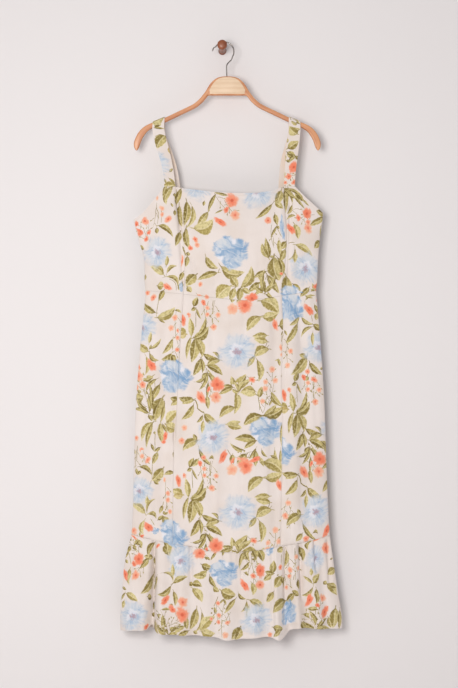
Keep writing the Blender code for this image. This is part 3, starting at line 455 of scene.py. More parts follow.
# The print's charts: where each motif shows on the front. A leaf's row is the place of its stalk
# and of its tip, across and up in millimetres, its half width in tenths of a millimetre, its bend
# in hundredths of its length and its tone in tenths. A stem's row is the same without a tone. A
# flower's row is its place across and up and its radius in millimetres, its turn in degrees, its
# narrowness in hundredths and its tone in tenths. A spray's row is the place of its foot and of
# its tip, how many twigs it has and how far they reach, in millimetres.
SKIRT_PRINT = charted(
    stems=(
        (-59, -599, -59, -635, 7, 0), (-46, -689, -44, -703, 7, 0), (-45, -703, -17, -752, 7, 8),
        (101, -667, 97, -678, 7, 0), (-20, -574, -23, -599, 7, 0), (-20, -592, -22, -626, 7, 4),
        (-31, -576, -38, -638, 7, 3), (-61, -797, -55, -816, 14, -10), (-56, -815, -40, -826, 14, 5),
        (80, -791, 91, -827, 7, 4), (84, -820, 80, -791, 7, 4), (108, -751, 110, -779, 7, -3),
        (97, -778, 105, -808, 7, -2), (109, -781, 105, -808, 7, 0), (-49, -757, -34, -772, 7, 0),
        (12, -908, 27, -929, 7, 5), (138, -654, 142, -673, 7, 0), (134, -654, 133, -667, 7, 0),
    ),
    leaves=(
        (-64, -588, -55, -566, 75, 0, 9), (-59, -591, -70, -597, 47, 0, 8),
        (-58, -592, -47, -617, 31, 5, 9), (-70, -655, -74, -611, 79, 6, 1),
        (-66, -659, -30, -631, 122, 18, 7), (-55, -653, -37, -611, 59, 12, 8),
        (-81, -649, -103, -638, 102, 0, 1), (-80, -651, -101, -653, 87, 0, -3),
        (-69, -655, -80, -707, 55, 6, 4), (-60, -659, -69, -715, 130, -5, 7),
        (-59, -660, -44, -703, 102, -12, 5), (-47, -704, -66, -744, 91, -6, 8),
        (-48, -704, -44, -739, 51, -10, 8), (-42, -694, -4, -706, 75, 12, 10),
        (-7, -705, -23, -690, 39, 20, 10), (-4, -708, -35, -722, 87, 15, 6),
        (-34, -720, 2, -743, 87, -10, 9), (-36, -726, -15, -752, 51, 8, 8),
        (-36, -739, -60, -755, 31, -20, 8), (24, -559, 22, -581, 71, 0, 6), (52, -559, 32, -580, 102, 0, 8),
        (86, -575, 128, -605, 165, -16, 3), (90, -612, 127, -601, 122, 10, 2),
        (87, -610, 55, -645, 122, 14, 4), (101, -653, 67, -655, 87, 0, 3), (102, -667, 70, -660, 83, 0, 3),
        (102, -678, 72, -700, 59, -6, 7), (105, -683, 71, -703, 118, 20, 4), (72, -699, 56, -724, 67, 0, 6),
        (78, -707, 81, -758, 87, -14, 4), (130, -707, 118, -709, 24, 0, 4),
        (127, -706, 130, -722, 31, 0, 4), (132, -744, 145, -735, 31, 20, 6),
        (128, -631, 153, -625, 154, 0, 9), (101, -562, 118, -569, 39, 0, 10),
        (-60, -757, -36, -742, 43, 15, 8), (-33, -741, -14, -750, 31, -10, 10),
        (-63, -796, -99, -792, 91, -10, 9), (-63, -798, -91, -807, 71, 10, 6),
        (-64, -808, -93, -842, 83, -12, 5), (-40, -827, -7, -852, 98, 10, 6),
        (-43, -831, -58, -848, 43, -12, 9), (-34, -787, -31, -819, 63, 0, 6),
        (-31, -758, -34, -795, 39, 0, 10), (24, -770, 54, -738, 122, 10, 8), (23, -769, 20, -743, 63, 8, 5),
        (25, -770, 1, -764, 59, 0, 7), (24, -770, -8, -786, 67, 6, 7), (30, -775, 67, -748, 67, 0, 3),
        (31, -777, 26, -831, 87, -12, 3), (30, -814, -7, -839, 102, 16, 5),
        (76, -785, 39, -781, 130, 16, 1), (75, -779, 53, -773, 59, 0, 3), (82, -792, 89, -766, 71, 0, 6),
        (108, -778, 137, -813, 83, 10, 6), (92, -832, 139, -811, 130, 14, 8),
        (93, -831, 123, -806, 79, 10, 6), (91, -833, 47, -856, 122, 14, 8), (10, -851, 43, -846, 63, 0, 2),
        (11, -853, 46, -860, 87, 0, 3), (77, -888, 25, -885, 102, 8, 8), (76, -889, 48, -907, 63, 5, 7),
        (57, -913, 16, -892, 51, -12, 8), (76, -904, 55, -940, 31, 0, 8), (75, -910, 74, -947, 79, 0, 7),
        (57, -917, 49, -945, 39, 0, 5), (88, -908, 102, -925, 35, 15, 10), (84, -925, 94, -947, 51, 0, 5),
        (118, -908, 121, -948, 39, 0, 2), (131, -908, 130, -948, 31, 0, 6),
        (-54, -887, -89, -912, 114, 14, 6), (-57, -888, -65, -873, 55, 0, 7),
        (-52, -905, -18, -946, 55, 12, 9), (-30, -929, -18, -932, 43, -50, 8),
        (-53, -929, -66, -947, 71, 0, 5), (143, -839, 135, -883, 91, 0, 4),
        (143, -835, 134, -905, 28, 10, 4), (112, -796, 105, -811, 28, 0, 9),
        (90, -796, 104, -809, 24, 0, 10), (139, -641, 132, -654, 27, 0, 8),
        (133, -744, 150, -733, 30, -25, 8), (126, -705, 130, -722, 37, 0, 6),
        (-33, -736, -17, -772, 48, -12, 9), (-33, -736, -45, -752, 48, 12, 9),
        (-33, -736, -53, -776, 48, -12, 9), (37, -780, 21, -772, 43, -12, 6),
        (37, -780, 25, -756, 43, 12, 6), (37, -780, 53, -756, 43, -12, 6),
    ),
    over=(
        (-42, -843, -45, -873, 51, 0, 0),
    ),
    peonies=(
        (34, -689, 53, 15, 100, 0), (-107, -748, 48, 30, 100, 10), (-21, -881, 49, -10, 100, 0),
        (99, -870, 43, 0, 100, 10),
    ),
    blossoms=(
        (-42, -579, 10, 60, 70, 9), (-34, -566, 8, 20, 100, 6), (-33, -591, 7, 0, 100, 3),
        (-33, -606, 7, 40, 100, 4), (-9, -607, 8, 0, 100, 3), (-19, -634, 10, 0, 100, 4),
        (-76, -607, 8, 0, 100, 4), (-88, -620, 17, 80, 42, 9), (119, -629, 19, 72, 42, 8),
        (132, -680, 10, 80, 45, 3), (133, -694, 7, 0, 100, 3), (112, -729, 10, 0, 100, 2),
        (23, -594, 17, 10, 100, 2), (51, -585, 24, 0, 100, 8), (70, -570, 17, -20, 45, 10),
        (-11, -763, 22, 0, 100, 9), (-30, -773, 10, 110, 50, 9), (-14, -791, 17, 15, 100, 4),
        (-47, -792, 22, 55, 50, 8), (2, -924, 21, -62, 48, 10), (27, -937, 13, 0, 100, 9),
        (47, -942, 17, 0, 100, 7), (-44, -941, 10, 0, 100, 5), (97, -757, 8, 0, 100, 2),
        (96, -772, 9, 0, 100, 2), (119, -754, 9, 0, 100, 2), (90, -800, 8, 0, 100, 2),
        (-85, -860, 9, 0, 100, 2), (67, -752, 11, 20, 80, 7), (-91, -889, 10, 0, 100, 4),
        (37, -929, 6, 0, 100, 2), (-88, -618, 18, 75, 45, 9), (132, -681, 9, 85, 50, 3),
        (134, -696, 6, 0, 100, 2),
    ),
    sprays=(
        (-16, -573, -19, -638, 4, 13), (-41, -573, -33, -625, 4, 13), (92, -826, 98, -758, 4, 14),
        (107, -773, 112, -728, 4, 14), (100, -809, 116, -758, 3, 11), (-33, -758, -11, -795, 4, 15),
        (55, -743, 74, -758, 3, 10), (70, -912, 19, -936, 5, 18), (41, -916, 55, -938, 3, 13),
        (-40, -938, -22, -1001, 5, 13),
    ),
)
LEFT_SKIRT_PRINT = charted(
    stems=(
        (-172, -793, -160, -817, 7, 0), (-151, -755, -150, -769, 7, 0), (-150, -870, -150, -911, 7, 0),
        (-191, -901, -193, -945, 7, 0), (-130, -799, -130, -828, 7, 0), (-156, -940, -157, -977, 7, 0),
        (-158, -977, -170, -1051, 7, 4), (-160, -1064, -152, -1079, 7, 0), (-132, -1026, -134, -1035, 7, 0),
        (-124, -1030, -127, -1045, 7, 0), (-84, -1072, -89, -1088, 7, 0), (-111, -660, -111, -692, 12, 2),
        (-143, -574, -147, -611, 7, 3), (-158, -695, -150, -718, 7, -10), (-170, -749, -150, -740, 7, 5),
    ),
    leaves=(
        (-182, -755, -176, -760, 52, 0, 7), (-172, -746, -153, -750, 42, -10, 4),
        (-146, -750, -173, -782, 52, 10, 9), (-192, -774, -170, -796, 52, 0, 7),
        (-195, -796, -177, -791, 126, 0, 7), (-160, -819, -198, -818, 66, 0, 9),
        (-140, -762, -161, -804, 80, 0, 7), (-161, -780, -159, -810, 49, 0, 10),
        (-134, -792, -154, -850, 171, 6, 6), (-143, -806, -152, -845, 70, 5, 10),
        (-164, -817, -155, -847, 59, 10, 8), (-130, -809, -138, -849, 49, 0, 5),
        (-153, -847, -181, -892, 87, 18, 2), (-155, -849, -170, -907, 66, 6, 7),
        (-139, -848, -134, -897, 80, 5, 2), (-135, -851, -123, -873, 38, 0, 8),
        (-126, -849, -99, -821, 115, -10, 0), (-127, -853, -98, -861, 136, 10, 1),
        (-151, -868, -151, -875, 31, 0, 10), (-159, -896, -151, -914, 35, 0, 10),
        (-139, -904, -152, -914, 42, 0, 10), (-145, -914, -156, -943, 70, 0, 6),
        (-108, -792, -107, -807, 28, 0, 10), (-109, -912, -106, -932, 42, 0, 6),
        (-198, -910, -196, -921, 31, 0, 9), (-187, -948, -156, -968, 63, -20, 9),
        (-194, -952, -190, -968, 43, 0, 6), (-183, -957, -191, -967, 36, 0, 7),
        (-133, -951, -158, -980, 119, -4, 5), (-153, -979, -142, -987, 46, 0, 6),
        (-138, -976, -152, -981, 33, 0, 8), (-108, -960, -132, -966, 56, 10, 8),
        (-172, -1053, -206, -1033, 99, 12, 1), (-168, -1049, -147, -1019, 43, -25, 5),
        (-168, -1054, -148, -1066, 56, -35, 8), (-174, -1067, -176, -1102, 69, 20, 0),
        (-134, -1034, -142, -1054, 49, 0, 9), (-145, -1067, -131, -1057, 49, 0, 9),
        (-134, -1059, -121, -1083, 92, -5, 5), (-133, -1048, -128, -1056, 40, 0, 10),
        (-122, -1049, -129, -1056, 26, 0, 9), (-86, -1014, -112, -995, 99, 10, -3),
        (-88, -1015, -114, -1039, 92, -10, 3), (-83, -1026, -92, -1069, 73, 10, 4),
        (-119, -1082, -118, -1077, 26, 0, 10), (-185, -1095, -184, -1106, 33, 0, 8),
        (-90, -796, -118, -792, 91, -10, 9), (-94, -799, -116, -811, 71, 10, 6),
        (-163, -827, -194, -788, 53, -12, 9), (-163, -827, -179, -768, 53, 12, 9),
        (-163, -827, -188, -809, 53, -12, 9), (-163, -827, -169, -751, 53, 12, 9),
        (-182, -758, -193, -742, 43, -12, 7), (-182, -758, -178, -734, 43, 12, 7),
        (-182, -758, -169, -750, 43, -12, 7), (-178, -1139, -207, -1112, 53, -12, 9),
        (-178, -1139, -211, -1136, 53, 12, 9), (-178, -1139, -192, -1099, 53, -12, 9),
        (-178, -1139, -182, -1107, 53, 12, 9), (-130, -549, -143, -577, 67, 0, 9),
        (-149, -602, -179, -576, 83, -12, 8), (-146, -613, -105, -588, 110, 14, 3),
        (-143, -615, -128, -625, 33, 0, 8), (-142, -616, -129, -616, 23, 0, 6),
        (-178, -596, -172, -587, 30, 0, 9), (-162, -683, -137, -658, 43, 12, 4),
        (-163, -684, -158, -673, 30, 0, 10), (-165, -689, -189, -670, 94, -6, 2),
        (-163, -691, -140, -708, 60, 30, 8), (-171, -699, -174, -743, 67, -16, -2),
        (-111, -660, -136, -695, 67, -8, 5), (-111, -694, -138, -707, 83, -14, 5),
        (-112, -692, -117, -717, 80, 10, 6), (-112, -694, -99, -726, 83, 10, 10),
        (-107, -596, -91, -603, 33, -15, 8), (-178, -754, -153, -743, 57, 10, 7),
    ),
    over=(
        (-168, -1034, -168, -1012, 53, 0, 0), (-164, -671, -159, -643, 53, 0, 0),
    ),
    peonies=(
        (-186, -1003, 43, 30, 100, 0), (-150, -1092, 11, 0, 90, 10), (-107, -1098, 42, 20, 100, 10),
        (-107, -748, 48, 30, 100, 10), (-180, -636, 46, 20, 100, 0),
    ),
    blossoms=(
        (-185, -752, 19, -80, 60, 9), (-128, -879, 14, -80, 50, 10), (-132, -892, 8, -20, 70, 8),
        (-193, -884, 8, 0, 100, 4), (-181, -910, 8, 0, 100, 4), (-180, -924, 7, 0, 100, 3),
        (-166, -932, 12, -50, 60, 6), (-166, -932, 11, -55, 60, 6), (-180, -925, 7, 0, 100, 3),
        (-130, -977, 8, -90, 50, 2), (-122, -1007, 8, 0, 100, 4), (-122, -1022, 8, 0, 100, 4),
        (-117, -1048, 7, 0, 100, 3), (-93, -983, 16, -70, 50, 9), (-165, -1083, 18, 45, 62, 10),
        (-199, -1093, 11, 0, 100, 4), (-181, -1104, 8, -30, 60, 9), (-198, -1107, 8, 0, 100, 7),
        (-188, -745, 15, 0, 100, 4), (-179, -764, 11, 0, 100, 5), (-193, -770, 9, 0, 100, 3),
        (-168, -557, 8, 0, 100, 5), (-155, -567, 13, -50, 60, 6), (-158, -720, 20, 55, 62, 10),
        (-106, -613, 9, 0, 100, 3), (-115, -636, 9, 0, 100, 3), (-100, -642, 7, 80, 60, 5),
        (-100, -658, 7, 0, 100, 4), (-101, -685, 7, 0, 100, 5), (-187, -725, 10, 85, 40, 5),
    ),
    sprays=(
        (-163, -825, -187, -758, 5, 17), (-174, -788, -192, -725, 4, 13), (-103, -599, -99, -673, 5, 13),
        (-96, -673, -107, -699, 3, 10), (-96, -810, -88, -869, 4, 13), (-191, -906, -194, -955, 4, 11),
        (-178, -910, -170, -943, 3, 10), (-127, -979, -120, -1049, 4, 12),
        (-181, -1135, -204, -1100, 4, 13),
    ),
)
RIGHT_SKIRT_PRINT = charted(
    stems=(
        (197, -711, 192, -745, 9, -2), (143, -677, 142, -709, 7, 0), (145, -677, 151, -686, 7, 0),
        (187, -589, 203, -621, 7, -10),
    ),
    leaves=(
        (223, -891, 233, -920, 48, -12, 10), (223, -891, 212, -916, 48, 12, 10),
        (223, -891, 235, -904, 48, -12, 10), (196, -550, 175, -567, 67, 10, 8),
        (186, -575, 211, -563, 33, -20, 5), (186, -563, 205, -569, 33, 0, 4),
        (208, -583, 216, -604, 50, 0, 8), (215, -602, 211, -619, 77, 0, 2),
        (178, -611, 207, -627, 50, 16, 5), (205, -628, 223, -642, 77, 0, 8),
        (203, -633, 178, -658, 50, 20, 6), (174, -609, 149, -631, 57, -10, 5),
        (169, -625, 140, -675, 80, -6, 5), (139, -641, 146, -654, 27, 0, 8),
        (191, -699, 152, -742, 127, -10, 6), (189, -703, 173, -696, 67, 10, 5),
        (197, -713, 227, -742, 77, 10, 9), (192, -744, 187, -755, 67, 0, 7),
        (221, -729, 227, -725, 33, 0, 7),
    ),
    over=(
        (204, -645, 204, -677, 43, 0, 0),
    ),
    peonies=(
        (150, -591, 41, 60, 100, 10), (218, -680, 46, 0, 100, 0),
    ),
    blossoms=(
        (195, -595, 21, 48, 50, 10), (216, -571, 10, -50, 60, 9), (153, -688, 8, 0, 100, 3),
        (146, -720, 9, 0, 100, 2), (207, -752, 13, 30, 60, 7),
    ),
    sprays=(
        (139, -647, 135, -714, 4, 13), (146, -673, 149, -725, 4, 12), (213, -758, 219, -788, 3, 10),
        (167, -791, 152, -824, 3, 10), (148, -1016, 137, -1064, 4, 13), (155, -1034, 152, -1086, 4, 11),
        (226, -914, 230, -966, 4, 13),
    ),
)
BODICE_PRINT = charted(
    stems=(
        (-147, -354, -147, -412, 7, 0), (-138, -369, -137, -400, 7, 0), (-103, -324, -102, -359, 7, 0),
        (-119, -526, -103, -552, 7, -20), (-6, -503, -9, -513, 7, 0), (101, -516, 92, -559, 7, 4),
        (114, -431, 116, -452, 7, 0), (149, -446, 163, -445, 7, -10), (42, -546, 21, -543, 7, 0),
        (121, -407, 133, -432, 7, 0),
    ),
    leaves=(
        (-126, -314, -133, -347, 68, 0, 7), (-111, -317, -125, -361, 90, 10, 6),
        (-92, -322, -103, -363, 77, 0, 10), (-97, -359, -90, -410, 94, 6, 6),
        (-80, -351, -87, -410, 102, -10, 9), (-69, -360, -83, -414, 64, -22, 4),
        (-14, -335, -32, -378, 51, 5, 9), (-31, -376, -57, -411, 85, 0, 4),
        (-65, -413, -19, -391, 167, 22, 1), (14, -339, -20, -331, 34, 0, 9), (2, -371, -18, -381, 21, 0, 7),
        (-144, -406, -109, -435, 73, -20, 9), (-147, -411, -146, -425, 73, 0, 8),
        (-95, -420, -105, -453, 85, 0, 8), (-81, -411, -71, -461, 98, 12, 7),
        (-40, -351, -42, -363, 38, 0, 8), (-107, -333, -107, -342, 34, 0, 10),
        (-115, -356, -110, -366, 30, 0, 9), (-106, -372, -106, -385, 43, 0, 10),
        (-186, -451, -175, -459, 56, 0, 9), (-173, -516, -175, -529, 47, 0, 7),
        (-131, -517, -163, -497, 94, 10, 2), (-125, -514, -100, -497, 56, -25, 6),
        (-128, -521, -100, -546, 56, -30, 7), (-88, -510, -97, -532, 60, 0, 8),
        (-89, -533, -99, -552, 64, 0, 7), (-58, -516, -82, -543, 128, 5, 7),
        (-79, -543, -68, -556, 73, 0, 4), (-90, -453, -79, -477, 30, 0, 10),
        (-76, -466, -77, -475, 51, 0, 10), (-78, -475, -82, -500, 64, 0, 7),
        (-37, -475, -6, -503, 85, 18, 7), (-9, -512, -57, -529, 81, 6, 7), (-3, -498, 53, -509, 132, 22, 5),
        (19, -520, 36, -545, 98, 0, 4), (19, -542, -13, -574, 171, 10, 0), (29, -546, 17, -576, 85, 0, 4),
        (-146, -541, -130, -541, 107, 0, 4), (-131, -551, -143, -578, 81, 5, 8),
        (133, -326, 121, -363, 111, 0, 7), (118, -352, 138, -369, 77, 0, 3),
        (113, -357, 73, -392, 64, -6, 9), (142, -319, 144, -379, 68, 0, 9),
        (158, -358, 145, -380, 51, -15, 7), (147, -319, 188, -371, 47, 3, 7),
        (164, -330, 185, -352, 81, 0, 10), (182, -347, 196, -362, 30, 0, 7),
        (231, -380, 211, -372, 90, 0, 10), (229, -386, 196, -407, 81, 0, 6),
        (165, -384, 145, -394, 38, 20, 5), (162, -402, 171, -438, 107, -10, 2),
        (118, -380, 124, -407, 68, 0, 7), (123, -407, 108, -434, 30, 0, 10),
        (123, -407, 128, -415, 34, 0, 9), (225, -401, 222, -452, 26, 0, 3), (105, -479, 97, -433, 77, 0, 8),
        (104, -480, 89, -445, 81, -10, 6), (107, -477, 117, -475, 30, 0, 7),
        (127, -438, 130, -474, 68, 0, 1), (144, -442, 132, -460, 77, 0, 7),
        (142, -459, 129, -490, 73, 0, 6), (116, -476, 131, -532, 179, 12, 6),
        (123, -477, 129, -527, 73, -20, 9), (99, -509, 70, -524, 64, 5, 8), (89, -534, 57, -557, 81, 5, 8),
        (96, -541, 70, -565, 47, 0, 5), (101, -517, 129, -560, 90, 0, 8), (97, -552, 117, -571, 47, 10, 9),
        (42, -546, 65, -496, 120, 18, 4), (42, -546, 37, -577, 90, 0, 6), (45, -546, 63, -560, 68, 0, 3),
        (164, -449, 205, -476, 90, -12, 2), (163, -455, 145, -484, 38, -25, 4),
        (143, -518, 132, -565, 141, -18, 7), (159, -537, 177, -553, 68, 0, 10),
        (196, -545, 177, -566, 73, 0, 8), (220, -439, 207, -457, 81, 0, 8),
        (192, -564, 207, -571, 38, 0, 6), (96, -557, 72, -539, 58, -12, 7), (96, -557, 76, -515, 58, 12, 7),
        (96, -557, 96, -502, 58, -12, 7), (96, -557, 119, -514, 58, 12, 7),
        (96, -557, 123, -539, 58, -12, 7), (212, -555, 203, -534, 43, -12, 9),
        (212, -555, 217, -530, 43, 12, 9), (212, -555, 198, -547, 43, -12, 9),
        (139, -321, 157, -358, 43, -12, 9), (139, -321, 172, -346, 43, 12, 9),
        (139, -321, 186, -358, 43, -12, 9),
    ),
    over=(
        (-126, -497, -124, -472, 56, 0, 1), (165, -466, 163, -491, 60, 0, 0),
    ),
    peonies=(
        (-54, -314, 47, 40, 100, 0), (81, -328, 52, -30, 100, 0), (-146, -466, 47, 10, 100, 0),
        (22, -469, 48, 0, 100, 10), (134, -412, 34, 88, 20, 10), (-92, -545, 17, 80, 35, 7),
        (188, -502, 48, 60, 100, 0), (158, -570, 35, 30, 100, 10),
    ),
    blossoms=(
        (22, -350, 21, 0, 100, 8), (9, -372, 11, -70, 70, 9), (29, -384, 15, 0, 100, 4),
        (-4, -399, 21, 35, 45, 10), (-174, -395, 13, 0, 100, 6), (-193, -403, 13, 60, 70, 9),
        (-185, -422, 11, 0, 100, 9), (-164, -423, 13, -65, 45, 10), (-171, -436, 9, 0, 100, 9),
        (-135, -367, 8, 0, 100, 2), (-135, -381, 8, 0, 100, 3), (-121, -392, 13, -40, 75, 6),
        (-146, -344, 7, 0, 100, 1), (-60, -438, 11, 60, 70, 7), (-56, -450, 8, 0, 100, 4),
        (-71, -457, 8, 0, 100, 9), (-90, -485, 19, -88, 20, 5), (-123, -544, 17, 30, 45, 8),
        (-168, -557, 7, 0, 100, 4), (-154, -563, 14, -50, 60, 7), (-49, -538, 8, -70, 80, 4),
        (-51, -567, 9, 0, 100, 8), (-35, -568, 9, 0, 100, 7), (190, -379, 20, 60, 75, 9),
        (193, -412, 16, 0, 100, 4), (171, -389, 10, 0, 100, 8), (155, -414, 19, 52, 55, 10),
        (103, -395, 11, 0, 100, 6), (67, -570, 19, 0, 100, 10), (133, -514, 6, -20, 70, 8),
        (214, -543, 13, -70, 50, 10), (214, -569, 10, 0, 100, 9), (212, -543, 12, 0, 60, 9),
        (210, -573, 14, 30, 70, 8), (193, -399, 10, 0, 100, 5), (-184, -419, 14, 40, 50, 10),
        (-165, -422, 10, 0, 60, 9),
    ),
    sprays=(
        (-162, -444, -189, -404, 4, 17), (-174, -433, -165, -403, 3, 13), (-18, -333, 19, -379, 4, 15),
        (4, -348, 37, -389, 4, 13), (152, -363, 200, -403, 5, 15), (208, -381, 167, -396, 4, 13),
        (214, -536, 208, -588, 5, 15), (-59, -557, -26, -589, 4, 13), (111, -404, 116, -456, 3, 11),
        (-148, -366, -155, -411, 3, 10),
    ),
)
